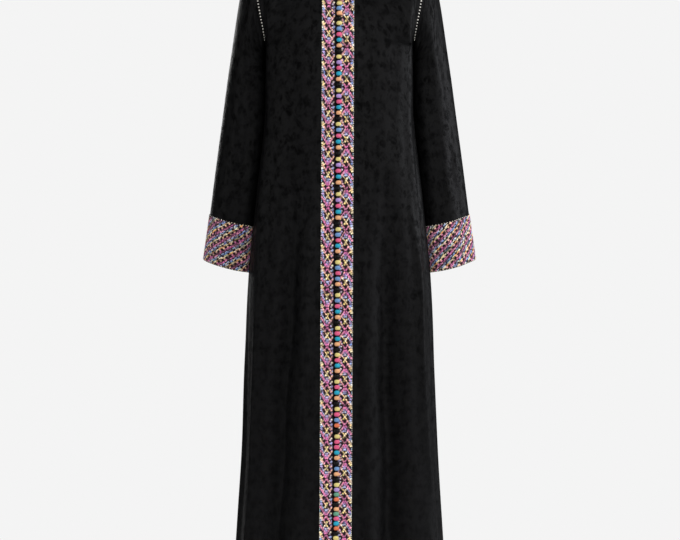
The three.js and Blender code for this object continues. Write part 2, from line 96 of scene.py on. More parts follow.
# Number of a ball from the neck down, and its height: they are sewn on a little unevenly
BUTTON_HEIGHTS = np.array((
    (0, -0.0960), (6, -0.1637), (10, -0.2080), (28, -0.4300), (46, -0.6610), (64, -0.8772),
    (74, -0.9942), (84, -1.1137), (93, -1.2194), (104, -1.3350), (111, -1.4185),
))
BUTTON_LIFT = 0.0063  # from the cloth to a ball's middle
BALL_HALVES = (0.0060, 0.0052, 0.0047)  # half its width, depth and height
BALL_POLE = 0.0046  # half its height at the middle of its top
BALL_SIZES = (0.96, 1.04)  # the smallest and the largest, to the middling one
BUTTON_STRAY = 0.0006  # how far one is sewn on to either side of its line

# ------------------------------------------------------------------ sections of the body
# Up to the underarm the two panels meet at y = 0, and a section lies level: level, the front's centre
# y, the back's centre y, edge x
BELOW_UNDERARM = (
    (0, -0.172, 0.168, 0.2353), (0.24, -0.160, 0.152, 0.2175), (0.47, -0.149, 0.139, 0.2105),
    (0.678, -0.139, 0.128, 0.2025), (0.83, -0.131, 0.116, 0.1865), (1.01, -0.123, 0.094, 0.1670),
    (1.1, -0.121, 0.095, 0.1664), (1.172, -0.118, 0.098, 0.1662),
)
# Above it: level, centre y, centre z, edge x, edge y, edge z
FRONT_ABOVE = (
    (1.203, -0.115, -0.2260, 0.1655, -0.030, -0.249),
    (1.239, -0.109, -0.1890, 0.1680, -0.054, -0.222),
    (1.295, -0.090, -0.1310, 0.1770, -0.063, -0.168),
    (1.355, -0.066, -0.0670, 0.1860, -0.053, -0.109),
    (1.399, -0.042, -0.0230, 0.1920, -0.032, -0.071),
    (1.427, -0.020, 0.0060, 0.1950, -0.016, -0.054),
    (1.446, 0.000, 0.0186, 0.1960, 0.000, -0.050),
)
BACK_ABOVE = (
    (1.203, 0.099, -0.2270, 0.1655, 0.030, -0.248),
    (1.239, 0.098, -0.1900, 0.1670, 0.053, -0.218),
    (1.295, 0.091, -0.1320, 0.1750, 0.065, -0.160),
    (1.355, 0.074, -0.0680, 0.1850, 0.056, -0.102),
    (1.399, 0.050, -0.0220, 0.1910, 0.038, -0.068),
    (1.427, 0.025, 0.0070, 0.1950, 0.019, -0.054),
    (1.446, 0.000, 0.0186, 0.1960, 0.000, -0.050),
)


def sections(above, centre):
    """All of a panel's sections, with its centre's column below the underarm and its rows above."""
    heights = [round(row[0] - HEM_BELOW, 3) for row in BELOW_UNDERARM]
    below = [(row[0], row[centre], z, row[3], 0, z) for row, z in zip(BELOW_UNDERARM, heights)]
    return np.array([*below, *above])


PANELS = {"front": sections(FRONT_ABOVE, 1), "back": sections(BACK_ABOVE, 2)}

# Folds down a panel: panel, width (share), then rows of level, share of the way across, out
FOLDS = (
    ("front", 0.06, ((0, 0.57, 0.009), (0.24, 0.583, 0.008), (0.47, 0.562, 0.007), (0.678, 0.592, 0.005),
                     (0.83, 0.645, 0.0045), (1.01, 0.66, 0.004), (1.172, 0.655, 0.004),
                     (1.295, 0.58, 0.004), (1.399, 0.5, 0))),
    ("front", 0.10, ((0, 0.33, -0.013), (0.3, 0.33, -0.009), (0.678, 0.34, -0.005),
                     (1.01, 0.36, -0.001), (1.172, 0.38, 0))),
    ("front", 0.07, ((0, 0.77, -0.008), (0.47, 0.78, -0.006), (0.678, 0.8, -0.002), (0.83, 0.8, 0))),
    ("front", 0.10, ((1.01, 0.84, 0), (1.172, 0.86, -0.003), (1.295, 0.8, -0.007), (1.399, 0.78, 0))),
    ("back", 0.09, ((0, 0.24, 0.010), (0.47, 0.23, 0.007), (1.01, 0.22, 0.002), (1.24, 0.22, 0))),
    ("back", 0.08, ((0, 0.43, -0.012), (0.47, 0.43, -0.008), (1.01, 0.44, -0.002), (1.172, 0.45, 0))),
    ("back", 0.045, ((1.08, 0.88, 0), (1.13, 0.88, 0.005), (1.172, 0.88, 0.006), (1.21, 0.88, 0.004),
                     (1.26, 0.88, 0))),
    ("back", 0.07, ((0, 0.63, 0.009), (0.678, 0.64, 0.005), (1.172, 0.66, 0.003), (1.355, 0.6, 0))),
)
# How far the hanging sleeve presses the body's side in, behind the side seam: level, out
PRESS_SHARE, PRESS_WIDTH = 0.16, 0.13
PRESS = ((0.48, 0), (0.58, -0.006), (0.678, -0.017), (0.76, -0.018), (0.83, -0.016),
         (1.01, -0.012), (1.1, -0.009), (1.15, -0.0035), (1.172, 0))
# How far the front opening leans to the wearer's right: level, x
LEAN = ((0, -0.013), (0.24, -0.011), (0.68, -0.0085), (1.01, -0.0065), (1.26, -0.005), (1.446, -0.003))

# Soft creases by panel and side (1 the wearer's left): from level, share, to level, share, width, out
CREASES_BY_PLACE = {
    ("front", -1): (
        (0.00, 0.200, 0.78, 0.215, 0.045, 0.0040),
        (0.30, 0.540, 1.20, 0.520, 0.050, -0.0022),
        (0.70, 0.300, 1.32, 0.270, 0.060, 0.0018),
        (0.86, 0.430, 1.36, 0.480, 0.050, -0.0020),
        (0.00, 0.880, 0.52, 0.870, 0.040, 0.0035),
        (-0.60, 0.500, 0.88, 0.315, 0.070, -0.0270),
        (-0.60, 0.280, 0.84, 0.205, 0.050, 0.0060),
        (-0.50, 0.612, 0.80, 0.550, 0.020, 0.0030),
    ),
    ("front", 1): (
        (-0.60, 0.345, 0.84, 0.352, 0.064, -0.0250),
        (-0.60, 0.210, 0.84, 0.200, 0.050, 0.0050),
        (0.00, 0.800, 1.00, 0.700, 0.050, -0.0110),
        (-0.50, 0.690, 0.86, 0.540, 0.034, 0.0065),
        (0.32, 0.540, 0.86, 0.560, 0.025, 0.0040),
        (0.00, 0.210, 0.70, 0.200, 0.045, 0.0035),
        (0.10, 0.460, 0.74, 0.490, 0.050, 0.0030),
        (0.00, 0.700, 0.66, 0.675, 0.028, 0.0040),
        (0.36, 0.530, 1.10, 0.540, 0.045, -0.0022),
        (0.76, 0.290, 1.34, 0.330, 0.060, 0.0020),
        (0.90, 0.450, 1.37, 0.440, 0.050, -0.0018),
        (0.00, 0.900, 0.46, 0.890, 0.040, 0.0030),
    ),
    ("back", -1): (
        (0.00, 0.100, 0.66, 0.130, 0.050, -0.0040),
        (0.12, 0.340, 0.94, 0.330, 0.045, 0.0030),
        (0.00, 0.540, 0.58, 0.560, 0.045, 0.0035),
        (0.30, 0.780, 1.02, 0.800, 0.050, -0.0030),
        (0.98, 0.300, 1.36, 0.360, 0.060, 0.0020),
    ),
    ("back", 1): (
        (0.04, 0.090, 0.74, 0.080, 0.050, -0.0035),
        (0.00, 0.350, 0.80, 0.360, 0.045, 0.0035),
        (0.16, 0.550, 0.86, 0.530, 0.045, -0.0030),
        (0.00, 0.800, 0.50, 0.780, 0.050, 0.0030),
        (1.02, 0.420, 1.37, 0.330, 0.060, 0.0022),
    ),
}
CREASES = [(*place, *row) for place, rows in CREASES_BY_PLACE.items() for row in rows]

# Rings of the sleeve: along, outer x, outer z, inner x, inner z, half depth, centre y, drop
SLEEVE = np.array([
    (0.000, 0.2402, -0.262, 0.1645, -0.292, 0.066, 0.024, 0.002),
    (0.070, 0.2502, -0.330, 0.1617, -0.354, 0.064, 0.027, 0.003),
    (0.152, 0.2610, -0.412, 0.1640, -0.434, 0.062, 0.028, 0.004),
    (0.253, 0.2745, -0.512, 0.1735, -0.535, 0.059, 0.028, 0.005),
    (0.368, 0.2890, -0.626, 0.1870, -0.652, 0.056, 0.028, 0.006),
    (0.470, 0.3030, -0.726, 0.1960, -0.754, 0.052, 0.028, 0.007),
])
CAP_LEAVE_TOP, CAP_LEAVE_UNDER = np.array((0.34, 0, -0.94)), np.array((0.15, 0, -0.99))
# Soft creases of a sleeve: side, from along, turn, to along, turn, width (turn), out.
# A turn is 0 at the outer line, 0.25 at the front, 0.5 at the inner line and 0.75 at the back.
SLEEVE_CREASES = (
    (-1, -0.45, 0.37, 0.66, 0.35, 0.050, 0.0065),
    (1, -0.45, 0.36, 0.66, 0.34, 0.060, 0.0085),
    (1, -0.50, 0.14, 0.70, 0.13, 0.060, -0.0065),
    (-1, 0.02, 0.20, 0.34, 0.17, 0.035, 0.0020),
    (-1, 0.10, 0.28, 0.36, 0.31, 0.030, -0.0018),
    (-1, 0.14, 0.10, 0.30, 0.22, 0.025, -0.0012),
    (-1, 0.05, 0.70, 0.36, 0.78, 0.040, 0.0020),
    (-1, 0.10, 0.86, 0.34, 0.80, 0.030, -0.0018),
    (1, 0.00, 0.16, 0.30, 0.13, 0.030, 0.0020),
    (1, 0.06, 0.24, 0.35, 0.27, 0.035, -0.0018),
    (1, 0.16, 0.09, 0.32, 0.19, 0.025, -0.0012),
    (1, 0.02, 0.72, 0.34, 0.76, 0.040, 0.0020),
    (1, 0.12, 0.88, 0.36, 0.83, 0.030, -0.0018),
)
# A crease's line wavers as sine waves: how far (share or turn), radians to a metre, and how much
# further on each next crease's wave starts
WAVERS = ((0.012, 9, 2.3), (0.006, 23, 1.0))
SLEEVE_WAVERS = ((0.008, 17, 1.7),)
UNEVEN = 0.0007  # height of the slow unevenness between the creases
HELD = 0.06  # share over which the creases die out towards a seam
UNDER_BAND = 0.12  # share of the front that its band holds flat


# ------------------------------------------------------------------ curves and grids
def cubic(start, end, leave, arrive, t):
    """The cubic from start to end whose slopes at its two ends are leave and arrive."""
    return (
        start * (1 + 2 * t) * (1 - t) ** 2 + end * t**2 * (3 - 2 * t)
        + leave * t * (1 - t) ** 2 - arrive * t**2 * (1 - t)
    )


def run(table, at):
    """A table's columns at the places at: a cubic through its rows whose slope at each row is the
    slope between the rows on its two sides."""
    table = np.asarray(table, float)
    keys, values = table[:, 0], table[:, 1:]
    at = np.clip(np.asarray(at, float), keys[0], keys[-1])
    last = len(keys) - 1
    before = np.maximum(np.arange(last + 1) - 1, 0)
    after = np.minimum(np.arange(last + 1) + 1, last)
    slope = (values[after] - values[before]) / (keys[after] - keys[before])[:, None]
    i = np.clip(np.searchsorted(keys, at, side="left") - 1, 0, last - 1)
    step = (keys[i + 1] - keys[i])[..., None]
    t = (at - keys[i])[..., None] / step
    return cubic(values[i], values[i + 1], slope[i] * step, slope[i + 1] * step, t)


def bell(distance, width):
    """e to the minus square of distance over width."""
    return np.exp(-((distance / width) ** 2))


def fade(t):
    """Half a sine wave to the power 0.8: 0 at t = 0 and at t = 1, and 1 between them."""
    return np.sin(np.pi * np.clip(t, 0, 1)) ** 0.8


def unit(vectors):
    """Each vector over its length."""
    return vectors / np.maximum(np.linalg.norm(vectors, axis=-1, keepdims=True), 1e-12)


def outward(points, wrap=False, flip=1):
    """Unit normals of a grid of points: across its neighbours in a row, crossed with up its column."""
    if wrap:
        across = np.roll(points, -1, 1) - np.roll(points, 1, 1)
    else:
        across = np.gradient(points, axis=1)
    return unit(np.cross(across, np.gradient(points, axis=0))) * flip


def lengths_along(points, axis):
    """Distance run along a line of points, or a grid's rows or columns, from 0 at the first."""
    steps = np.linalg.norm(np.diff(points, axis=axis), axis=-1)
    return np.insert(np.cumsum(steps, axis=axis), 0, 0, axis=axis)


def along_line(at, distance, values):
    """A line's values at the distances at, each column drawn straight between its own distances."""
    return np.stack([np.interp(at, distance, column) for column in values.T], -1)


# ------------------------------------------------------------------ the body's surface
def quarter_turn(share):
    """The section's angle: shares near 0 and near 1 weighed against each other by one power."""
    near, far = share ** (1 / SQUARENESS), (1 - share) ** (1 / SQUARENESS)
    return math.pi / 2 * near / (near + far)


def share_at(panel, distance, level):
    """The share of the way across at which a section is distance from its centre line: the angle's
    formula turned round."""
    reach = run(PANELS[panel], level)[..., 2]
    turn = np.arcsin(np.minimum(1, distance / reach) ** (1 / SQUARENESS)) / (math.pi / 2)
    ratio = (turn / (1 - turn)) ** SQUARENESS
    return ratio / (1 + ratio)


def body(panel, side, share, level, creased=True):
    """A point of a panel's outer face. Across a level, x is the edge's x times the sine of the angle to
    a power, y falls from the centre's to the edge's as its cosine to that power, and z falls as the
    sine to the slope. Folds stand out along the section's own direction."""
    share, level = np.broadcast_arrays(np.asarray(share, float), np.asarray(level, float))
    angle = quarter_turn(share)
    sine, cosine = np.sin(angle) ** SQUARENESS, np.cos(angle) ** SQUARENESS
    centre_y, centre_z, edge_x, edge_y, edge_z = np.moveaxis(run(PANELS[panel], level), -1, 0)
    out = np.zeros_like(share)
    for of, width, path in FOLDS:
        if of == panel:
            where, height = np.moveaxis(run(path, level), -1, 0)
            out += height * bell(share - where, width)
    behind = (1 - share) if panel == "back" else (share - 1)
    out += run(PRESS, level)[..., 0] * bell(behind - PRESS_SHARE, PRESS_WIDTH)
    if creased:
        out += creases(panel, side, share, level) * bpy.context.scene.kaftan.crease
    forward = 1 if panel == "back" else -1
    return np.stack([
        side * (edge_x * sine + out * np.sin(angle)) + lean(panel, share, level),
        edge_y + (centre_y - edge_y) * cosine + forward * out * np.cos(angle),
        centre_z + (edge_z - centre_z) * sine**SLOPE,
    ], axis=-1)


def lean(panel, share, level):
    """How far x moves with the leaning opening: less and less, as a square, towards the side seam."""
    return 0 if panel == "back" else run(LEAN, level)[..., 0] * (1 - share) ** 2


def crease(up, across, row, number, wavers, spare=0.0):
    """One soft ridge or trough: a bell across a slanting line that wavers. It fades at the line's two
    ends, or at spare of its length past them."""
    up0, across0, up1, across1, width, height = row
    t = (up - up0) / (up1 - up0)
    waver = sum(far * np.sin(often * up + start * number) for far, often, start in wavers)
    off = across - across0 - (across1 - across0) * t - waver
    return height * fade((t + spare) / (1 + 2 * spare)) * bell(off, width)


def creases(panel, side, share, level):
    """All of a half panel's creases, with two slow sine waves multiplied. They die out towards the
    seams and under the band, where the cloth is held."""
    out = np.zeros_like(share)
    for number, (of, on, *row) in enumerate(CREASES):
        if of == panel and on == side:
            out += crease(level, share, row, number, WAVERS, spare=0.04)
    out += UNEVEN * np.sin(11 * level + 5 * share + side) * np.sin(7 * level - 9 * share + 2 * side)
    held = np.clip((1 - share) / HELD, 0, 1)
    if panel == "front":
        held = held * np.clip((share - UNDER_BAND) / HELD, 0, 1)
    return out * held


def top_level(panel, share_of, count):
    """The level at which each line up a panel ends, by halving: on the neck edge, an ellipse below the
    shoulder, or else on the shoulder seam."""

    def inside(level):
        share = share_of(level)
        p = body(panel, 1, share, level, creased=False)
        x = p[..., 0] - lean(panel, share, level)
        round_neck = (x / NECK_HALF_WIDTH) ** 2 + (p[..., 2] / NECK_DEPTH[panel]) ** 2 < 1
        return np.where(p[..., 2] > 0, x < NECK_HALF_WIDTH, round_neck)

    low, high = np.full(count, UNDERARM), np.full(count, SHOULDER)
    on_neck = inside(high - 1e-5)
    for _ in range(30):
        middle = (low + high) / 2
        is_in = inside(middle)
        high, low = np.where(is_in, middle, high), np.where(is_in, low, middle)
    return np.where(on_neck, high, SHOULDER)


def panel_grid(panel, side, share_of, columns, rows=ROWS):
    """Rows of points up half a panel. Above the underarm each line is squeezed to end at its top."""
    top = top_level(panel, share_of, columns)
    row = np.linspace(0, 1, rows)[:, None] * SHOULDER
    squeeze = (top - UNDERARM) / (SHOULDER - UNDERARM)
    level = np.where(row <= UNDERARM, row, UNDERARM + (row - UNDERARM) * squeeze)
    return body(panel, side, share_of(level), level), level


def half_panel(panel, side, start):
    """A grid over half a panel, from the share start to the edge, with one line that ends at the corner
    of the neck and the shoulder."""
    corner = float(share_at(panel, NECK_HALF_WIDTH, np.array(SHOULDER))) + 1e-4
    inner = max(3, round(COLUMNS * corner))
    to_corner = start + (corner - start) * (1 - (1 - np.linspace(0, 1, inner)) ** 1.25)
    shares = np.concatenate([to_corner, np.linspace(corner, 1, COLUMNS - inner + 1)[1:]])

    def share_of(level):
        return np.broadcast_to(shares, np.broadcast_shapes(shares.shape, np.shape(level)))

    return panel_grid(panel, side, share_of, len(shares))


# ------------------------------------------------------------------ the sleeve's surface
def armhole(side, turn):
    """The armhole's edge: down the front panel's edge for the first half turn, up the back's after."""
    down = UNDERARM + (SHOULDER - UNDERARM) * np.abs(1 - 2 * turn)
    front, back = (body(panel, side, np.ones_like(turn), down, creased=False) for panel in PANELS)
    return np.where((turn <= 0.5)[..., None], front, back)


def sleeve_ring(side, along, turn):
    """A ring of the sleeve: an ellipse from the outer line by the front to the inner line."""
    outer_x, outer_z, inner_x, inner_z, depth, y, drop = np.moveaxis(run(SLEEVE, along), -1, 0)
    angle = 2 * math.pi * turn
    mid_x, mid_z = (outer_x + inner_x) / 2, (outer_z + inner_z) / 2
    return np.stack([
        side * (mid_x + (outer_x - mid_x) * np.cos(angle)),
        y - depth * np.sin(angle),
        mid_z + (outer_z - mid_z) * np.cos(angle) - drop * np.sin(angle),
    ], axis=-1)


def sleeve(side, along, turn):
    """A point of the sleeve. Below 0 along, a cubic runs from the armhole (-1) to the first ring, and
    leaves it outwards; from 0 on, it is on the rings. Creases move it along the ring's own radius."""
    along, turn = np.broadcast_arrays(np.asarray(along, float), np.asarray(turn, float))
    angle = 2 * math.pi * turn
    start = armhole(side, turn % 1) + np.array((side * ARMHOLE_SPACE, 0, 0))
    first = sleeve_ring(side, np.zeros_like(turn), turn)
    a_little_down = sleeve_ring(side, np.full_like(turn, 0.02), turn)
    reach = np.linalg.norm(start - first, axis=-1, keepdims=True)
    topness = (0.5 + 0.5 * np.cos(angle))[..., None]
    leave = CAP_LEAVE_UNDER + (CAP_LEAVE_TOP - CAP_LEAVE_UNDER) * topness
    leave = unit(leave * np.array((side, 1, 1))) * reach
    arrive = unit(a_little_down - first) * reach
    cap = cubic(start, first, leave, arrive, np.clip(along + 1, 0, 1)[..., None])
    point = np.where((along < 0)[..., None], cap, sleeve_ring(side, np.maximum(along, 0), turn))
    out = np.zeros_like(turn)
    for number, (on, *row) in enumerate(SLEEVE_CREASES):
        if on == side:
            out += crease(along, turn, row, number, SLEEVE_WAVERS)
    out *= bpy.context.scene.kaftan.crease
    radial = np.stack([side * np.cos(angle), -np.sin(angle), np.zeros_like(angle)], axis=-1)
    return point + radial * out[..., None]


# ------------------------------------------------------------------ where the trims lie
class Patch:
    """A stretch of surface that trims are laid on. It is a grid of points with outward directions,
    and a place on it is found between the grid's lines."""

    def __init__(self, points, normals, across, down):
        self.points, self.normals, self.across, self.down = points, normals, across, down

    def at(self, across, down, lift):
        """The points at these places, lifted off the surface, and its outward directions there."""
        column = np.interp(across, self.across, np.arange(len(self.across)))
        row = np.interp(down, self.down, np.arange(len(self.down)))
        i = np.minimum(column.astype(int), len(self.across) - 2)
        j = np.minimum(row.astype(int), len(self.down) - 2)
        u, v = (column - i)[..., None], (row - j)[..., None]

        def between(grid):
            near = grid[j, i] * (1 - u) + grid[j, i + 1] * u
            far = grid[j + 1, i] * (1 - u) + grid[j + 1, i + 1] * u
            return near * (1 - v) + far * v

        normal = unit(between(self.normals))
        return between(self.points) + normal * np.asarray(lift)[..., None], normal


def band_patch(side):
    """The front's surface under a band, by distance from the opening and distance down from the neck."""
    across = np.linspace(*BAND_REACH, 15)
    points, _ = panel_grid("front", side, lambda level: share_at("front", across, level), 15, 700)
    normals = outward(points, flip=side)
    down = lengths_along(points[::-1], 0)[:, len(across) // 2]
    return Patch(points[::-1], normals[::-1], across, down)


def cuff_patch(side):
    """The sleeve's surface under a cuff, by turn, from the outer line by the front to the inner line
    and back behind, and by distance down from the cuff's top."""
    margin = 0.004  # worked out above the cuff's top
    along = np.linspace(CUFF_TOP - margin, SLEEVE_END, 40)[:, None]
    turn = np.linspace(0, 1, 181)
    front = len(turn) // 4
    points = sleeve(side, along, turn[None, :] % 1)
    points[:, -1] = points[:, 0]
    normals = outward(points, flip=side)
    normals[:, 0] = normals[:, -1] = unit(normals[:, 0] + normals[:, -1])
    return Patch(points, normals, turn, lengths_along(points, 0)[:, front] - margin)


# ------------------------------------------------------------------ meshes
def new_object(name, points, faces, finish, sharp=None):
    """A piece that is smooth but for edges sharper than sharp degrees, and rides on the garment."""
    mesh = bpy.data.meshes.new(name)
    mesh.from_pydata(np.reshape(points, (-1, 3)).tolist(), [], faces)
    mesh.polygons.foreach_set("use_smooth", np.full(len(mesh.polygons), True))
    if sharp is not None:
        mesh.set_sharp_from_angle(angle=math.radians(sharp))
    mesh.materials.append(material(finish))
    mesh.validate()
    obj = bpy.data.objects.new(name, mesh)
    bpy.context.scene.collection.objects.link(obj)
    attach(obj, "root")
    return obj


def cloth_coordinates(points, wrap=False, cut=0.0):
    """Distances over the cloth, in metres: across from the first line, and up from the first row, or
    on a wrapped grid up from it on the average. cut moves a piece to its own place in the figured
    cloth, so that no two are alike."""
    closed = np.concatenate([points, points[:, :1]], axis=1) if wrap else points
    across, up = lengths_along(closed, 1), lengths_along(closed, 0)
    if wrap:
        up = np.broadcast_to(up.mean(axis=1, keepdims=True), up.shape)
    return np.stack([across + cut, up + 0.7 * cut], axis=-1)


def shell(name, outer, normals, thickness, finish, wrap=False, cut=0.0):
    """A wall from a grid of points inwards, with strips that join its two faces at the edges. The
    faces are turned round if the sum of their corners' triple products, its volume, is negative."""
    rows, count = outer.shape[:2]
    spans = count if wrap else count - 1
    row, column, top = np.arange(rows - 1), np.arange(spans), rows - 1
    j, i = (a.ravel() for a in np.mgrid[0 : rows - 1, 0:spans])

    def faces(*corners):
        """Faces by their corners, each a face of the wall (0 or 1), a row and a column."""
        return np.stack([np.stack(np.broadcast_arrays(*corner), -1) for corner in corners], axis=1)

    parts = [
        faces((0, j, i), (0, j, i + 1), (0, j + 1, i + 1), (0, j + 1, i)),
        faces((1, j, i), (1, j + 1, i), (1, j + 1, i + 1), (1, j, i + 1)),
        faces((0, 0, column + 1), (0, 0, column), (1, 0, column), (1, 0, column + 1)),
        faces((0, top, column), (0, top, column + 1), (1, top, column + 1), (1, top, column)),
    ]
    if not wrap:
        parts += [
            faces((0, row, 0), (0, row + 1, 0), (1, row + 1, 0), (1, row, 0)),
            faces((0, row + 1, spans), (0, row, spans), (1, row, spans), (1, row + 1, spans)),
        ]
    corners = np.concatenate(parts)
    points = np.concatenate([outer.reshape(-1, 3), (outer - normals * thickness).reshape(-1, 3)])
    index = corners[..., 0] * rows * count + corners[..., 1] * count + corners[..., 2] % count
    a, b, c = (points[index[:, k]] for k in (0, 1, 2))
    if np.einsum("ij,ij->i", a, np.cross(b, c)).sum() < 0:
        index, corners = index[:, ::-1], corners[:, ::-1]
    obj = new_object(name, points, index.tolist(), finish, sharp=60)
    uv = cloth_coordinates(outer, wrap, cut)[corners[..., 1], corners[..., 2]]
    obj.data.uv_layers.new(name="cloth").data.foreach_set("uv", uv.astype(np.float32).ravel())
    return obj


def copies(faces, each, count):
    """The same faces for each of count shapes that have each points."""
    return (np.arange(count)[:, None, None] * each + np.array(faces)).reshape(-1, len(faces[0])).tolist()


def colour_points(obj, colours, each):
    """Keeps one colour for each shape of each points, as the attribute that the yarn reads."""
    shade = np.repeat(np.insert(colours, 3, 1, axis=1), each, axis=0)
    layer = obj.data.color_attributes.new("yarn", "FLOAT_COLOR", "POINT")
    layer.data.foreach_set("color", shade.astype(np.float32).ravel())


# Stations along a strand and points round it: share of its length, half width; across, up
STATIONS = np.array(((0.0, 0.45), (0.16, 0.95), (0.84, 0.95), (1.0, 0.45)))
ROUND = np.array(((-0.62, -0.6), (0.62, -0.6), (1.0, 0.25), (0.0, 1.0), (-1.0, 0.25)))


def strands(name, start, end, up, half_width, half_height, colours):
    """Short flattened strands as one mesh. Each runs from its start to its end: five points round it
    at four stations, with both ends closed. Across, up and along are left-handed here, so the faces
    go round the other way to face outwards."""
    count, stations, ring = len(start), len(STATIONS), len(ROUND)
    along = end - start
    aside = unit(np.cross(along, up)) * np.broadcast_to(half_width, count)[:, None]
    place = start[:, None] + along[:, None] * STATIONS[None, :, :1]
    wide = aside[:, None, None] * (STATIONS[:, 1:, None] * ROUND[:, 0, None])
    high = (up * half_height)[:, None, None] * (STATIONS[:, 1:, None] * ROUND[:, 1, None])
    sides = [
        ((s + 1) * ring + k, (s + 1) * ring + (k + 1) % ring, s * ring + (k + 1) % ring, s * ring + k)
        for s in range(stations - 1)
        for k in range(ring)
    ]
    caps = [range(ring), range(stations * ring - 1, (stations - 1) * ring - 1, -1)]
    each = stations * ring
    faces = copies(sides, each, count) + copies(caps, each, count)
    obj = new_object(name, place[:, :, None] + wide + high, faces, "braid yarn")
    colour_points(obj, colours, each)
    return obj


# ------------------------------------------------------------------ materials
def arithmetic(operation, turned=False):
    """A method that adds a Math node for a link and another value, in this order or turned."""

    def method(link, other):
        return link.math(operation, *((other, link) if turned else (link, other)))

    return method


class Link:
    """An output socket of a node tree. Sums, differences and products of links and numbers add Math
    nodes."""

    def __init__(self, tree, socket):
        self.tree, self.socket = tree, socket

    def math(self, operation, *values):
        return make(self.tree, "ShaderNodeMath", {"operation": operation}, *values)

    __add__, __radd__ = arithmetic("ADD"), arithmetic("ADD", turned=True)
    __sub__, __rsub__ = arithmetic("SUBTRACT"), arithmetic("SUBTRACT", turned=True)
    __mul__, __rmul__ = arithmetic("MULTIPLY"), arithmetic("MULTIPLY", turned=True)

    def apply(self, operation):
        """A Math node of one value."""
        return self.math(operation, self)

    def clamp(self):
        """This, held between 0 and 1."""
        return self.math("MINIMUM", self.math("MAXIMUM", self, 0.0), 1.0)

    def mix(self, low, high):
        """The colour low where this is 0, and high where it is 1."""
        return make(self.tree, "ShaderNodeMix", {"data_type": "RGBA"}, out="Result_Color",
                    Factor_Float=self, A_Color=low, B_Color=high)


def find(sockets, key):
    """A socket by number, by name, or by the identifier that tells like-named sockets apart."""
    if isinstance(key, int):
        return sockets[key]
    for socket in sockets:
        if socket.identifier == key:
            return socket
    return sockets[key.replace("_", " ")]


def make(tree, kind, settings=None, *values, out=0, **named):
    """Adds a node, sets its settings, then its sockets from values and links, and gives its output."""
    node = tree.nodes.new(kind)
    for key, value in (settings or {}).items():
        setattr(node, key, value)
    for key, value in [*enumerate(values), *named.items()]:
        socket = find(node.inputs, key)
        if isinstance(value, Link):
            tree.links.new(value.socket, socket)
        else:
            socket.default_value = value
    return Link(tree, find(node.outputs, out))


def parts_of(tree, vector):
    """A vector's x, y and z."""
    first = make(tree, "ShaderNodeSeparateXYZ", None, vector)
    return [Link(tree, socket) for socket in first.socket.node.outputs]


def feed(shader, key, link):
    """Links a value to a shader's socket."""
    shader.id_data.links.new(link.socket, shader.inputs[key])


def bump(tree, shader, strength, height):
    """Tilts a shader's normal by a height in metres."""
    feed(shader, "Normal", make(tree, "ShaderNodeBump", None, Strength=strength, Distance=1.0, Height=height))


def wave(value, length):
    """A sine wave of this length."""
    return (value * (2 * math.pi / length)).apply("SINE")


def linear(rgb):
    """A screen colour as light: each channel to the power 2.2, near enough."""
    return tuple(float(c) ** 2.2 for c in rgb)


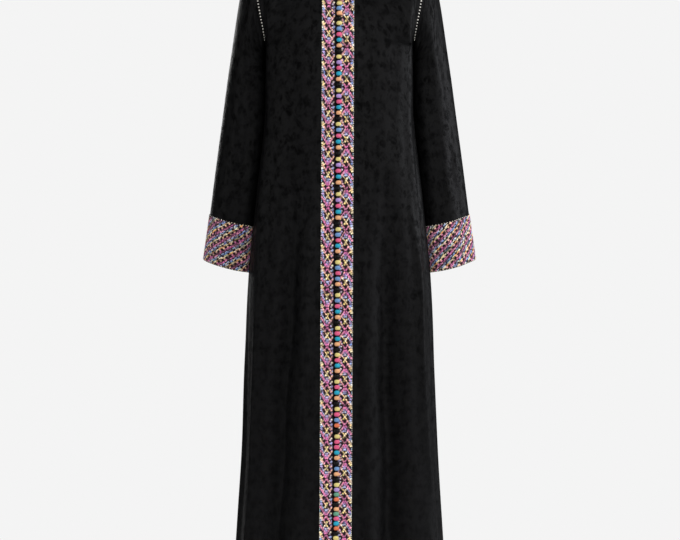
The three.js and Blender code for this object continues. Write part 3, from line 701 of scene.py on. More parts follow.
def jacquard(tree, shader):
    """Black figured cloth: matt leaves, scattered in patches, on a slightly brighter satin ground that
    slow changes mottle."""
    settings = bpy.context.scene.kaftan
    cloth = make(tree, "ShaderNodeUVMap", {"uv_map": "cloth"})

    def vector(operation, *values, **named):
        return make(tree, "ShaderNodeVectorMath", {"operation": operation}, *values, **named)

    def leaves(size, seed, spread):
        """Pointed leaves, 0 to 1, one to a cell that is taller than wide and turned by up to half of
        spread, in radians. A leaf's half width is a parabola along it, its middle line bends as a
        sine, and its rib shows half as strongly."""
        moved = vector("ADD", cloth, (seed, 0.37 * seed, 0))
        flat = vector("MULTIPLY", vector("SCALE", moved, Scale=1 / size), (1.0, 0.62, 1.0))
        found = make(tree, "ShaderNodeTexVoronoi", {"voronoi_dimensions": "2D"}, Vector=flat, Scale=1.0,
                     Randomness=1.0, out="Position")
        x, y, _ = parts_of(tree, vector("SUBTRACT", flat, found))
        red, green, _ = parts_of(tree, Link(tree, found.socket.node.outputs["Color"]))
        turn = (red - 0.5) * spread
        cosine, sine = turn.apply("COSINE"), turn.apply("SINE")
        aside, ahead = x * cosine + y * sine, y * cosine - x * sine
        half = (0.16 + 0.14 * green) * (1.0 - (ahead * 2.2) * (ahead * 2.2))
        off = (aside + (ahead * 9.0).apply("SINE") * 0.035).apply("ABSOLUTE")
        return ((half - off) * 9.0).clamp() * (0.5 + 0.5 * ((off - 0.02) * 20.0).clamp())

    def noise(scale, **named):
        settings_2d = {"noise_dimensions": "2D"}
        return make(tree, "ShaderNodeTexNoise", settings_2d, Vector=cloth, Scale=scale, **named)

    def patches(scale):
        """1 in scattered patches with soft edges, and 0 between them."""
        return ((noise(scale, Detail=3.0, Distortion=0.6) - 0.40) * 7.0).clamp()

    # leaves in three sizes, each in its own patches, that show less further down the skirt
    large = leaves(settings.motif, 0.0, 3.0) * patches(23.0)
    middle = leaves(settings.motif * 0.62, 1.3, 2.6) * patches(31.0)
    small = leaves(settings.motif * 0.38, 2.9, 2.2) * patches(40.0)
    figure = (large + middle + small * 0.9).clamp()
    height = parts_of(tree, make(tree, "ShaderNodeTexCoord", None, out="Object"))[2]
    shown = (1.1 + height * 0.5).clamp()
    mottling = (noise(48.0, Detail=4.0, Roughness=0.62) - 0.5) * 3.6
    shade = (0.16 + (figure * 0.55 + mottling) * shown).clamp()
    # the weave: satin floats on the ground, twill in the figure
    warp, weft, twill = 0.0011, 0.0016, 0.0013
    u, v, _ = parts_of(tree, cloth)
    weave = wave(u, warp) * wave(v, weft) * (1.0 - figure) + wave(u + v * 0.8, twill) * figure
    feed(shader, "Base Color", shade.mix((*settings.ground, 1), (*settings.figure, 1)))
    feed(shader, "Roughness", 0.48 + figure * 0.2)
    bump(tree, shader, 0.55, weave * 0.00003 - figure * 0.00012)


def yarn(tree, shader):
    """Twisted yarn: the strand's own colour, darkened by fine fibres that differ."""
    place = make(tree, "ShaderNodeTexCoord", None, out="Object")
    fibres = make(tree, "ShaderNodeTexNoise", None, Vector=place, Scale=900.0, Detail=3.0)
    strand = make(tree, "ShaderNodeAttribute", {"attribute_name": "yarn"}, out="Color")
    feed(shader, "Base Color", make(
        tree, "ShaderNodeMix", {"data_type": "RGBA", "blend_type": "MULTIPLY"}, out="Result_Color",
        Factor_Float=(fibres * 1.5 - 0.25).clamp() * 0.55, A_Color=strand, B_Color=(0.45, 0.4, 0.42, 1),
    ))
    feed(shader, "Roughness", shader.inputs["Roughness"].default_value + (fibres - 0.5) * 0.3)
    bump(tree, shader, 0.5, fibres * 0.00025)


def ribbon_ground(tree, shader):
    """The dark woven ground that shows in the braid's gaps: fine ribs across the ribbon, with painted shade
    in the weave's hollows and painted light on its tops.
    """
    u, v, _ = parts_of(tree, make(tree, "ShaderNodeUVMap", {"uv_map": "cloth"}))
    ribs = wave(v, 0.0012) * 0.5 + 0.5
    weave = ribs * (wave(u, 0.0009) * 0.5 + 0.5)
    # painted shade and light: the colour is darker where the weave is low and lighter where it is high
    feed(shader, "Base Color", weave.mix((0.008, 0.002, 0.004, 1), (0.036, 0.008, 0.015, 1)))
    feed(shader, "Roughness", 0.75 - ribs * 0.1)
    bump(tree, shader, 0.5, weave * 0.00008)


FINISHES = {
    # what links the things that vary over the surface, and the numbers that are the same all over
    "black jacquard": (jacquard, {"Specular IOR Level": 0.04}),
    "dark ribbon": (ribbon_ground, {"Specular IOR Level": 0.2, "Sheen Weight": 0.1}),
    "braid yarn": (yarn, {"Specular IOR Level": 0.2, "Sheen Weight": 0.3, "Roughness": 0.5}),
    "button thread": (yarn, {"Specular IOR Level": 0.2, "Roughness": 0.36}),
    "pale floor": (None, {"Specular IOR Level": 0.2, "Roughness": 0.8, "Base Color": (0.86, 0.86, 0.86, 1)}),
}


def material(finish):
    """The material with this finish, made when it is first asked for."""
    if finish not in bpy.data.materials:
        vary, constants = FINISHES[finish]
        new = bpy.data.materials.new(finish)
        new.use_nodes = True
        shader = new.node_tree.nodes["Principled BSDF"]
        for key, value in constants.items():
            shader.inputs[key].default_value = value
        if vary:
            vary(new.node_tree, shader)
    return bpy.data.materials[finish]


# ------------------------------------------------------------------ the braid's chart
COLOURS = {
    "magenta": (0.79, 0.41, 0.63), "pink": (0.88, 0.59, 0.69), "lilac": (0.70, 0.62, 0.83),
    "blue": (0.47, 0.56, 0.80), "sky": (0.62, 0.72, 0.88), "cream": (0.94, 0.90, 0.76),
    "yellow": (0.92, 0.82, 0.50), "peach": (0.94, 0.76, 0.62), "orange": (0.92, 0.62, 0.36),
    "maroon": (0.30, 0.06, 0.12), "white": (0.93, 0.92, 0.88), "teal": (0.28, 0.54, 0.66),
}
# One repeat of a band's braid, in millimetres from the middle of its magenta cross: across from the
# centre line (plus is the buttons' side) and down. Rows of stitches run from the first place to the
# second, and change from the first colour to the second. The dark ribbon shows between them.
BAND_CHART = (
    # across, down, across, down, rows, width, lift, colour, second colour
    (-14.2, -22.4, -0.4, -0.6, 2, 1.00, 0.5, "pink", "magenta"),
    (13.2, -20.6, 0.5, -0.8, 2, 0.92, 0.0, "peach", "magenta"),
    (0.4, 0.8, 12.6, 18.6, 2, 0.88, 0.0, "magenta", "peach"),
    (-0.6, 1.4, -6.4, 11.4, 1, 1.15, 0.2, "magenta", "pink"),
    (-13.4, -2.6, -4.4, 12.4, 2, 0.85, 0.0, "pink", "peach"),
    (-4.0, 13.2, 4.2, 26.2, 1, 1.30, 0.0, "peach", "yellow"),
    (3.4, 12.8, -3.6, 25.6, 2, 0.90, 0.5, "yellow", "cream"),
    (4.6, 25.4, 9.6, 33.6, 1, 1.15, 0.0, "white", "pink"),
    (-4.2, 25.2, -7.0, 30.0, 1, 1.10, 0.2, "white", "pink"),
    (-2.0, 27.8, -2.2, 36.6, 1, 1.00, 0.0, "sky", "lilac"),
    (0.0, 27.6, 0.0, 39.6, 1, 1.05, 0.2, "blue", "magenta"),
    (2.0, 27.6, 2.2, 36.4, 1, 1.00, 0.0, "sky", "lilac"),
    (-0.3, 29.6, 0.3, 31.4, 1, 1.00, 0.8, "white", "white"),
    (-14.0, -6.6, -9.6, 0.6, 2, 1.20, 0.4, "cream", "yellow"),
    (-14.2, -0.6, -11.4, 4.0, 1, 1.00, 0.0, "yellow", "cream"),
    (-14.2, -15.0, -14.2, -8.6, 1, 0.80, 0.0, "teal", "sky"),
    (-14.2, 3.8, -9.2, 12.4, 2, 1.00, 0.0, "white", "blue"),
    (-14.2, 9.4, -11.6, 13.8, 1, 1.00, 0.0, "blue", "sky"),
    (-13.8, 14.0, -5.4, 27.0, 1, 1.10, 0.0, "lilac", "sky"),
    (-11.0, 13.6, -8.0, 18.2, 1, 1.00, 0.0, "blue", "pink"),
    (12.4, -7.4, 7.6, 0.8, 2, 0.95, 0.0, "cream", "lilac"),
    (13.2, 3.0, 9.4, 9.0, 2, 0.95, 0.0, "lilac", "sky"),
    (8.6, 4.6, 7.2, 7.4, 1, 1.00, 0.0, "sky", "cream"),
    (13.2, 10.6, 12.4, 12.2, 1, 1.00, 0.0, "pink", "lilac"),
    (7.4, 15.6, 9.8, 20.8, 1, 1.00, 0.0, "lilac", "pink"),
    (13.2, 20.6, 11.0, 24.2, 1, 1.00, 0.0, "lilac", "lilac"),
    (-2.6, -2.4, -5.0, -6.4, 1, 1.00, 0.0, "magenta", "lilac"),
    (3.2, -4.6, 5.6, -8.4, 1, 1.00, 0.0, "lilac", "pink"),
    (-8.4, -2.0, -5.6, -5.6, 1, 1.00, 0.0, "peach", "lilac"),
    (5.6, 13.6, 8.4, 11.0, 1, 1.00, 0.0, "cream", "sky"),
    (11.8, 12.6, 13.2, 16.4, 1, 1.00, 0.0, "sky", "lilac"),
    (6.4, 27.2, 3.4, 31.0, 1, 1.00, 0.0, "cream", "lilac"),
    (10.6, 26.6, 12.6, 22.0, 1, 0.90, 0.0, "pink", "peach"),
)
# One repeat of a cuff's slanting stripes, from the uppermost down. place: share of the repeat. pitch,
# start and filled: from one stitch to the next, and where in that the first begins and how much it is.
CUFF_CHART = (
    # place, pitch, start, filled, width, colour, second colour
    (0.00, 0.0066, 0.0, 0.82, 0.88, "magenta", "pink"),
    (0.09, 0.0132, 0.5, 0.80, 0.82, "pink", "maroon"),
    (0.19, 0.0099, 0.0, 0.72, 0.80, "lilac", "sky"),
    (0.29, 0.0066, 0.5, 0.78, 0.80, "blue", "cream"),
    (0.385, 0.0148, 0.0, 0.66, 0.80, "blue", "teal"),
    (0.475, 0.0148, 0.0, 0.68, 0.80, "cream", "yellow"),
    (0.57, 0.0066, 0.3, 0.94, 0.92, "cream", "orange"),
    (0.675, 0.0102, 0.0, 0.44, 0.95, "peach", "pink"),
    (0.78, 0.0102, 0.0, 0.42, 0.95, "peach", "magenta"),
    (0.895, 0.0066, 0.5, 0.94, 0.78, "maroon", "magenta"),
)
BAND_REPEAT = 43.4  # height of one repeat, in millimetres
STITCH = 5.6  # length of one stitch of a band, in millimetres
STRAND = 0.00122  # half a stitch's width, in metres
STRAND_RISE = 0.00075  # half its height
FILLED = 0.9  # how much of the way to the next stitch a band's stitch takes up
ROW_SPACE = 1.8  # between rows of stitches side by side, in half stitch widths
BAND_HALF = 0.0148  # half a band's width
BAND_CENTRE = {1: 0.0205, -1: 0.0190}  # from the opening, on the wearer's left and right
BAND_REACH = (0.001, 0.039)  # from the opening: how much of the front is worked out under a band
# Height, and how many of the wearer's right band's crosses lie above it: the ribbon is eased a
# little as it is sewn on
BAND_COUNT = ((-1.430, 28.5), (-1.246, 24), (-1.000, 18), (-0.746, 12), (-0.476, 6), (-0.211, 0),
              (-0.050, -3.65))
BAND_STEP = 0.165  # the wearer's left band is this much of a repeat ahead
CUFF_REPEATS = 11  # round a cuff
CUFF_ROUND, CUFF_FALL = 0.0305, 0.0256  # the stripes' repeat round the cuff and down it
CUFF_EDGES = (0.0012, CUFF_DEPTH - 0.0008)  # the stripes start and end here, down from the top
SHORTEST = 0.0008  # a stitch that an edge cuts shorter is left out
JOIN = 0.02  # a stitch that seems longer crosses the line where turns start again, and is left out


def braid_colours(first, second, share, random, light=(0.65, 1.9), deep_shaded_share=0.07):
    """Each stitch's colour: between two colours by its share, give or take, and lighter or darker
    within light. The share deep_shaded_share of them stand for stitches that lie deep in the braid: their
    colour is painted shade, a fifth as light."""
    a, b = np.array(linear(COLOURS[first])), np.array(linear(COLOURS[second]))
    share = np.clip(share + random.normal(0, 0.22, len(share)), 0, 1)[:, None]
    light = random.uniform(*light, (len(share), 1))
    # painted shade: a share of the stitches are made a fifth as light, as if they lay deep in shadow
    light = np.where(random.random((len(share), 1)) < deep_shaded_share, 0.2, light)
    return (a + (b - a) * share) * light


def band_strands(side, distance, height, random):
    """The stitches of a band's chart, as starts and ends (from the opening and down), lifts, half
    widths and colours. The wearer's left band is the same ribbon turned half round. height is that of
    its centre line, by distance down."""
    way = -side
    count_at = run(BAND_COUNT, height)[:, 0] - (BAND_STEP if side > 0 else 0.0)
    slope = np.diff(distance) / np.diff(count_at)
    whole = np.arange(math.ceil(count_at[0]) - 2, math.floor(count_at[-1]) + 3).astype(float)
    place = np.interp(whole, count_at, distance)
    place += np.where(whole > count_at[-1], (whole - count_at[-1]) * slope[-200:].mean(), 0)
    place += np.where(whole < count_at[0], (whole - count_at[0]) * slope[:200].mean(), 0)
    stretch = np.gradient(place) / BAND_REPEAT

    def on_band(joint):
        across = BAND_CENTRE[side] - joint[:, 0] / 1000
        down = place[:, None] + way * joint[:, 1] * stretch[:, None]
        return np.stack(np.broadcast_arrays(across, down), -1).reshape(-1, 2)

    stitches = []
    for across, down, to_across, to_down, rows, width, lift, first, second in BAND_CHART:
        start, reach = np.array((across, down)), np.array((to_across - across, to_down - down))
        length = np.linalg.norm(reach)
        pieces = max(1, round(length / STITCH))
        begin = np.arange(pieces)[:, None] / pieces
        for row in range(rows):
            aside = (row - (rows - 1) / 2) * ROW_SPACE * STRAND * 1000 * width
            start_of_row = start + np.array((-reach[1], reach[0])) / length * aside
            a, b = (on_band(start_of_row + reach * t) for t in (begin, begin + FILLED / pieces))
            low, high = np.minimum(a[:, 1], b[:, 1]), np.maximum(a[:, 1], b[:, 1])
            keep = (low > 0.001) & (high < distance[-1] - 0.001)
            share = np.tile(begin[:, 0] + 0.5 / pieces, len(whole))[keep]
            lifts, widths = np.full(len(share), lift / 1000), np.full(len(share), STRAND * width)
            shades = braid_colours(first, second, share, random)
            stitches.append((a[keep], b[keep], lifts, widths, shades))
    return [np.concatenate(column) for column in zip(*stitches)]


def cuff_strands(side, random):
    """The stitches of a cuff's stripes, as starts and ends (turn and distance down), half widths and
    colours. Along a stripe, the turn in repeats plus the distance down in falls stays the same. Both
    cuffs count their repeats towards +x on the front, so that their stripes slant the same way."""
    slant = math.atan2(CUFF_FALL, CUFF_ROUND)
    square = CUFF_FALL * math.cos(slant) ** 2
    stitches = []
    for repeat in range(CUFF_REPEATS):
        for place, pitch, begin, filled, width, first, second in CUFF_CHART:
            fall = pitch * math.sin(slant)
            number = np.arange(-3, int(CUFF_DEPTH / fall) + 1)
            top = (number + begin + 0.37 * (repeat % 3)) * fall + place * square
            low, high = np.clip(top, *CUFF_EDGES), np.clip(top + fall * filled, *CUFF_EDGES)
            low, high = (ends[high - low > SHORTEST] for ends in (low, high))
            a, b = (
                np.stack([(-side * (repeat + place - down / CUFF_FALL) / CUFF_REPEATS) % 1, down], 1)
                for down in (low, high)
            )
            share = random.random(len(low)) > 0.55
            # the last number is the share of the cuff's stitches darkened to a fifth as painted shade
            shades = braid_colours(first, second, share, random, (0.45, 1.75), 0.15)
            stitches.append((a, b, np.full(len(low), STRAND * width), shades))
    return [np.concatenate(column) for column in zip(*stitches)]


def ribbon_on(name, patch, across, down, wrap=False):
    """A trim's woven ground, laid on a patch."""
    outer, normals = patch.at(*np.meshgrid(across, down), LAY + RIBBON)
    return shell(name, outer, normals, RIBBON, "dark ribbon", wrap)


def braid_on(name, patch, start, end, lift, width, shade):
    """A trim's stitches between places on a patch, all but those that cross its join."""
    p, up = patch.at(*start.T, BRAID_LIFT + lift)
    q, _ = patch.at(*end.T, BRAID_LIFT + lift)
    near = np.linalg.norm(p - q, axis=1) < JOIN
    return strands(name, p[near], q[near], up[near], width[near], STRAND_RISE, shade[near])


def finish_trim(node):
    """Hides the trim's own part, whose place the ribbon, its braid and its loops take."""
    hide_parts(node)


def edge_loops(name, patch, across, random):
    """A row of small cream loops along the outer edge of a band, a little unevenly spaced."""
    down = np.arange(LOOP_ENDS[0], patch.down[-1] - LOOP_ENDS[1], LOOP_PITCH)
    down += random.uniform(-LOOP_STRAY, LOOP_STRAY, len(down))
    p, up = patch.at(across, down - LOOP_LENGTH / 2, BRAID_LIFT)
    q, _ = patch.at(across, down + LOOP_LENGTH / 2, BRAID_LIFT)
    shade = braid_colours("white", "cream", random.random(len(down)), random)
    return strands(name, p, q, up, LOOP_HALF, LOOP_HALF, shade)


def cuff_loops(name, patch, random):
    """Small cream loops round the cuff's top edge and, a little darker, round its bottom edge."""
    turn = np.arange(0, 1, 1 / LOOPS_ROUND) + 0.004
    rows = []
    for down, first in ((0.0004, "white"), (CUFF_DEPTH - 0.0006, "cream")):
        at = turn + random.uniform(-CUFF_LOOP_STRAY, CUFF_LOOP_STRAY, len(turn))
        p, up = patch.at(at % 1, down, CUFF_LOOP_LIFT)
        q, _ = patch.at((at + CUFF_LOOP) % 1, down, CUFF_LOOP_LIFT)
        rows.append((p, q, up, braid_colours(first, "cream", random.random(len(at)), random)))
    p, q, up, shade = (np.concatenate(column) for column in zip(*rows))
    near = np.linalg.norm(p - q, axis=1) < JOIN
    return strands(name, p[near], q[near], up[near], LOOP_HALF, 0.0007, shade[near])


# ------------------------------------------------------------------ what a user would change
class KaftanSettings(bpy.types.PropertyGroup):
    """Sizes and colours of the kaftan."""

    cloth: FloatProperty(name="Cloth thickness", description="Wall of the jacquard", default=0.0009,
                         min=0.0002, max=0.003, unit="LENGTH")
    crease: FloatProperty(name="Creases", description="How strongly the soft creases show", default=1.0,
                          min=0.0, max=2.0)
    motif: FloatProperty(name="Leaf spacing", description="Distance between the jacquard's largest leaves",
                         default=0.026, unit="LENGTH")
    ground: FloatVectorProperty(name="Ground", description="Colour of the jacquard's satin ground",
                                subtype="COLOR", default=(0.0056, 0.0056, 0.0059))
    figure: FloatVectorProperty(name="Figure", description="Colour of the leaves",
                                subtype="COLOR", default=(0.0005, 0.0005, 0.0006))
    stitch_pitch: FloatProperty(name="Stitch pitch", description="From one armhole stitch to the next",
                                default=0.0070, unit="LENGTH")


# ------------------------------------------------------------------ the pieces
def cloth_piece(node, outer, normals, wrap=False, cut=0.0):
    """A sheet of jacquard that takes a panel's or a sleeve's place."""
    thickness = bpy.context.scene.kaftan.cloth
    obj = shell(f"{node}_cloth", outer, normals, thickness, "black jacquard", wrap, cut)
    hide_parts(node)


def body_piece(node, grid, level, flip, way, cut=0.0):
    """A front or the back. It stands back half a seam's space, the way its panel lies, at its side
    and shoulder seams. Its hem is thicker by what is turned up, with a dent at its line of stitches."""
    normals = outward(grid, flip=flip)
    side_seam = (level <= UNDERARM + 1e-9) & (np.abs(grid[..., 1]) < 1e-6)
    shoulder = level >= SHOULDER - 1e-6
    grid[..., 1] += np.where(side_seam | shoulder, way * SEAM / 2, 0.0)
    fold = np.clip((HEM - level) / HEM_STEP, 0, 1) * HEM_FOLD
    hem = fold - HEM_DENT * bell(level - HEM, HEM_DENT_WIDTH)
    cloth_piece(node, grid + normals * hem[..., None], normals, cut=cut)


class KAFTAN_OT_body(bpy.types.Operator):
    """Two fronts and a back in jacquard, with turned hems"""

    bl_idname = "kaftan.body"
    bl_label = "Fronts and Back"

    def execute(self, context):
        start = float(share_at("front", OPENING / 2, np.array(UNDERARM)))
        for name, side in SIDES:
            grid, level = half_panel("front", side, start)
            body_piece(f"front_{name}", grid, level, side, -1, cut=3.0 + side)
        left, level = half_panel("back", 1, 0.0)
        right, _ = half_panel("back", -1, 0.0)
        middle = (left[:, :1] + right[:, :1]) / 2
        grid = np.concatenate([right[:, :0:-1], middle, left[:, 1:]], axis=1)
        level = np.concatenate([level[:, :0:-1], level], axis=1)
        body_piece("back", grid, level, -1, 1)
        return {"FINISHED"}


class KAFTAN_OT_sleeves(bpy.types.Operator):
    """Two set-in sleeves in jacquard, hollow from the armhole to the cuff"""

    bl_idname = "kaftan.sleeves"
    bl_label = "Sleeves"

    def execute(self, context):
        along = np.concatenate([np.linspace(-1, 0, 60)[:-1], np.linspace(0, SLEEVE_END, 100)])
        for name, side in SIDES:
            grid = sleeve(side, along[:, None], TURNS)
            normals = outward(grid, wrap=True, flip=side)
            normals[0, :, 0] = 0  # the wall's edge at the armhole keeps its space from the panels
            cloth_piece(f"sleeve_{name}", grid, unit(normals), wrap=True,
                        cut=7.0 + side)
        return {"FINISHED"}


class KAFTAN_OT_bands(bpy.types.Operator):
    """The woven bands down both front edges: a dark ribbon, its braid and its looped edge"""

    bl_idname = "kaftan.bands"
    bl_label = "Front Bands"

    def execute(self, context):
        for name, side in SIDES:
            random = np.random.default_rng(11 + side)
            patch = band_patch(side)
            centre, end_of_band = BAND_CENTRE[side], patch.down[-1]
            edges = np.linspace(centre - BAND_HALF, centre + BAND_HALF, 8)
            ribbon = ribbon_on(f"band_{name}_ribbon", patch, edges, np.linspace(0, end_of_band, 400)[::-1])
            distance = np.linspace(0, end_of_band, 800)
            middle, _ = patch.at(centre, distance, 0.0)
            stitches = band_strands(side, distance, middle[:, 2], random)
            braid = braid_on(f"band_{name}_braid", patch, *stitches)
            loops = edge_loops(f"band_{name}_loops", patch, centre + BAND_HALF, random)
            finish_trim(f"front_trim_{name}")
        return {"FINISHED"}


class KAFTAN_OT_cuffs(bpy.types.Operator):
    """The deep woven cuffs: a dark ribbon round each sleeve end, its slanting braid and looped edges"""

    bl_idname = "kaftan.cuffs"
    bl_label = "Cuffs"

    def execute(self, context):
        for name, side in SIDES:
            random = np.random.default_rng(23 + side)
            patch = cuff_patch(side)
            down = np.linspace(0, CUFF_DEPTH + CUFF_SLANT, 28)
            ribbon = ribbon_on(f"cuff_{name}_ribbon", patch, TURNS, down, wrap=True)
            start, end, width, shade = cuff_strands(side, random)
            braid = braid_on(f"cuff_{name}_braid", patch, start, end, 0.0, width, shade)
            loops = cuff_loops(f"cuff_{name}_loops", patch, random)
            finish_trim(f"cuff_{name}")
        return {"FINISHED"}


class KAFTAN_OT_stitches(bpy.types.Operator):
    """Pale hand stitches round both armholes"""

    bl_idname = "kaftan.stitches"
    bl_label = "Armhole Stitches"

    def execute(self, context):
        turn = np.linspace(0, 1, 721)
        for name, side in SIDES:
            edge, over = (sleeve(side, along, turn) for along in ARMHOLE_STITCHES)
            ahead = np.roll(edge, -1, 0) - edge
            ahead[-1] = ahead[0]
            up = unit(np.cross(over - edge, ahead)) * -side
            distance = lengths_along(edge, 0)
            count = int(distance[-1] / context.scene.kaftan.stitch_pitch)
            middle = (np.arange(count) + 0.5) * distance[-1] / count
            middle = middle[np.interp(middle, distance, edge[:, 2]) > ARMHOLE_STITCHES_END]
            random = np.random.default_rng(5 + side)
            half = random.uniform(*ARMHOLE_STITCH_LENGTHS, len(middle)) / 2
            normal = unit(along_line(middle, distance, up))
            p, q = (
                along_line(at, distance, edge) + normal * ARMHOLE_STITCH_LIFT
                for at in (middle - half, middle + half)
            )
            shade = braid_colours("white", "white", random.random(len(middle)), random, (1.0, 1.3), 0)
            obj = strands(f"armhole_{name}_stitches", p, q, normal, *ARMHOLE_STITCH_HALVES, shade)
        return {"FINISHED"}


BALL_COLOURS = {
    "Y": (0.93, 0.87, 0.55), "B": (0.46, 0.62, 0.82), "L": (0.72, 0.60, 0.86), "R": (0.93, 0.40, 0.56),
    "T": (0.18, 0.68, 0.80), "P": (0.97, 0.72, 0.52), "O": (0.93, 0.50, 0.34), "G": (0.42, 0.66, 0.55),
    "K": (0.02, 0.02, 0.02),
}
# The balls' colours down the front, one group to a word
BALL_ORDER = (
    "LRTPKP YBPK YBRTPK YLRTPK YLRTPK YBRTPK YLRTPK YLRTPK YBRTPK YBRBPK YBRTPK YRTPK YRTPK YRTPK "
    "YRBOK YRRTPK BPK YLGOK PGRTOK YLRTPKYBR"
).replace(" ", "")


def ball():
    """A thread-wound ball's points (across, forward, up), and its faces. Across and forward go as the
    sine of the angle from its top to the power 0.62 and up as the cosine to the power 0.85. Eight
    ridges of thread, a wave round it, twist with the cosine and die out at the poles."""
    sides, rings = 16, 7
    polar = np.linspace(0, math.pi, rings + 2)[1:-1, None]
    around = np.arange(sides) * 2 * math.pi / sides
    wound = 1 + 0.035 * np.cos(8 * around + 2.5 * np.cos(polar)) * np.sin(polar)
    squared = wound * np.abs(np.sin(polar)) ** 0.62
    up = np.sign(np.cos(polar)) * np.abs(np.cos(polar)) ** 0.85
    shape = np.broadcast_arrays(squared * np.cos(around), squared * np.sin(around), up)
    points = (np.stack(shape, -1) * BALL_HALVES).reshape(-1, 3)
    points = np.concatenate([points, ((0, 0, BALL_POLE), (0, 0, -BALL_POLE))])
    quads = [
        (r * sides + (k + 1) % sides, (r + 1) * sides + (k + 1) % sides, (r + 1) * sides + k, r * sides + k)
        for r in range(rings - 1)
        for k in range(sides)
    ]
    top, bottom, last = rings * sides, rings * sides + 1, (rings - 1) * sides
    caps = [((k + 1) % sides, k, top) for k in range(sides)]
    caps += [(last + k, last + (k + 1) % sides, bottom) for k in range(sides)]
    return points, quads, caps


class KAFTAN_OT_buttons(bpy.types.Operator):
    """A close row of thread-wound ball buttons over the opening"""

    bl_idname = "kaftan.buttons"
    bl_label = "Ball Buttons"

    def execute(self, context):
        top = float(top_level("front", lambda at: share_at("front", OPENING, at), 1)[0])
        level = top * (1 - np.linspace(0, 1, 1500))
        line = body("front", 1, share_at("front", OPENING, level), level)
        line[:, 0] += BUTTON_ASIDE
        ahead = unit(np.gradient(line, axis=0))
        out = unit(np.cross(np.array((-1.0, 0, 0)), ahead))
        centre = line + out * BUTTON_LIFT
        distance = lengths_along(centre, 0)
        height = np.interp(np.arange(BUTTON_COUNT), *BUTTON_HEIGHTS.T)
        at = np.interp(-height, -centre[:, 2], distance)
        random = np.random.default_rng(3)
        middle = along_line(at, distance, centre)
        middle[:, 0] += random.uniform(-BUTTON_STRAY, BUTTON_STRAY, BUTTON_COUNT)
        forward, down = unit(along_line(at, distance, out)), unit(along_line(at, distance, ahead))
        axes = np.stack([np.tile((1.0, 0, 0), (BUTTON_COUNT, 1)), forward, -down], axis=1)
        template, quads, caps = ball()
        scale = random.uniform(*BALL_SIZES, (BUTTON_COUNT, 1, 1))
        points = middle[:, None] + np.einsum("pk,bkx->bpx", template, axes) * scale
        faces = copies(quads, len(template), BUTTON_COUNT) + copies(caps, len(template), BUTTON_COUNT)
        obj = new_object("ball_buttons", points, faces, "button thread")
        shade = np.array([linear(BALL_COLOURS[key]) for key in BALL_ORDER[:BUTTON_COUNT]])
        colour_points(obj, shade, len(template))
        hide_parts(*[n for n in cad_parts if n.startswith("buttons_")])
        return {"FINISHED"}


# ------------------------------------------------------------------ the stage
VIEW_WIDTH = 1.496  # what the camera sees across, at the garment
VIEW_CENTRE = Vector((0.0011, -0.10, -0.75))
VIEW_DISTANCE = 9.0
SENSOR = 36  # the camera's own width, in millimetres
AMBIENT = 0.14  # the pale room's light
ROOM = 0.905  # how bright the room itself looks
FLOOR_CORNERS = ((-1.1, -1.1, -1.452), (1.1, -1.1, -1.452), (1.1, 1.1, -1.452), (-1.1, 1.1, -1.452))
LIGHTS = (
    # name, place, target, size, power, colour
    ("key from the wearer's left", (3.8, -2.4, 1.0), (0, 0, -0.5), 1.8, 105, (1.0, 0.99, 1.0)),
    ("front", (0.4, -3.8, 0.8), (0, 0, -0.6), 2.0, 80, (1.0, 1.0, 1.0)),
    ("side from the wearer's left", (3.4, 0.5, -0.1), (0, 0, -0.6), 1.4, 78, (0.93, 0.95, 1.0)),
    ("fill from the wearer's right", (-4.0, -2.1, 0.3), (0, 0, -0.7), 1.8, 49, (1.0, 1.0, 1.0)),
    ("behind", (-1.6, 4.0, 0.6), (0, 0, -0.6), 2.0, 60, (1.0, 1.0, 1.0)),
    ("above", (0.3, -1.2, 2.6), (0, 0, -0.4), 2.0, 9, (1.0, 1.0, 1.0)),
)


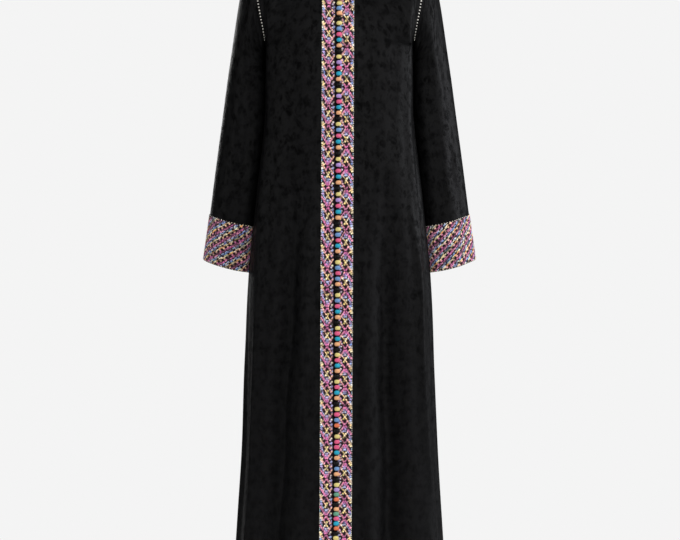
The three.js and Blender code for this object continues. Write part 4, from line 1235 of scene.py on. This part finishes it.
class KAFTAN_OT_stage(bpy.types.Operator):
    """The camera, a plain pale floor and soft studio light"""

    bl_idname = "kaftan.stage"
    bl_label = "Camera and Light"

    def execute(self, context):
        scene = context.scene
        scene.view_settings.view_transform = "Standard"
        camera = bpy.data.objects.new("camera", bpy.data.cameras.new("camera"))
        camera.data.sensor_width = SENSOR
        camera.data.lens = SENSOR * VIEW_DISTANCE / VIEW_WIDTH
        camera.location = VIEW_CENTRE - Vector((0, VIEW_DISTANCE, 0))
        camera.rotation_euler = (math.radians(90), 0, 0)
        scene.collection.objects.link(camera)
        scene.camera = camera
        for name, place, target, size, power, colour in LIGHTS:
            light = bpy.data.lights.new(name, "AREA")
            light.size, light.energy, light.color = size, power, colour
            lamp = bpy.data.objects.new(name, light)
            lamp.location = place
            lamp.rotation_mode = "QUATERNION"
            lamp.rotation_quaternion = (Vector(target) - Vector(place)).to_track_quat("-Z", "Y")
            scene.collection.objects.link(lamp)
        world = bpy.data.worlds.new("pale room")
        world.use_nodes = True
        scene.world = world
        tree = world.node_tree
        seen = make(tree, "ShaderNodeLightPath", None, out="Is Camera Ray")
        background = tree.nodes["Background"]
        background.inputs["Color"].default_value = (1, 1, 1, 1)
        feed(background, "Strength", AMBIENT + seen * (ROOM - AMBIENT))
        mesh = bpy.data.meshes.new("floor")
        mesh.from_pydata(FLOOR_CORNERS, [], [(0, 1, 2, 3)])
        mesh.materials.append(material("pale floor"))
        floor = bpy.data.objects.new("floor", mesh)
        scene.collection.objects.link(floor)
        return {"FINISHED"}


class KAFTAN_PT_panel(bpy.types.Panel):
    """Lists the kaftan's sizes and pieces"""

    bl_label = "Kaftan"
    bl_idname = "KAFTAN_PT_panel"
    bl_space_type = "VIEW_3D"
    bl_region_type = "UI"
    bl_category = "Kaftan"

    def draw(self, context):
        for key in KaftanSettings.__annotations__:
            self.layout.prop(context.scene.kaftan, key)
        for operator in OPERATORS:
            self.layout.operator(operator.bl_idname)


OPERATORS = (
    KAFTAN_OT_stage, KAFTAN_OT_body, KAFTAN_OT_sleeves, KAFTAN_OT_bands, KAFTAN_OT_cuffs,
    KAFTAN_OT_stitches, KAFTAN_OT_buttons,
)
CLASSES = (KaftanSettings, *OPERATORS, KAFTAN_PT_panel)


def register():
    for cls in CLASSES:
        bpy.utils.register_class(cls)
    bpy.types.Scene.kaftan = PointerProperty(type=KaftanSettings)


def unregister():
    del bpy.types.Scene.kaftan
    for cls in reversed(CLASSES):
        bpy.utils.unregister_class(cls)


def main():
    """Makes every piece."""
    register()
    bpy.ops.kaftan.stage()
    bpy.ops.kaftan.body()
    bpy.ops.kaftan.sleeves()
    bpy.ops.kaftan.bands()
    bpy.ops.kaftan.cuffs()
    bpy.ops.kaftan.stitches()
    bpy.ops.kaftan.buttons()


if __name__ == "__main__":
    main()
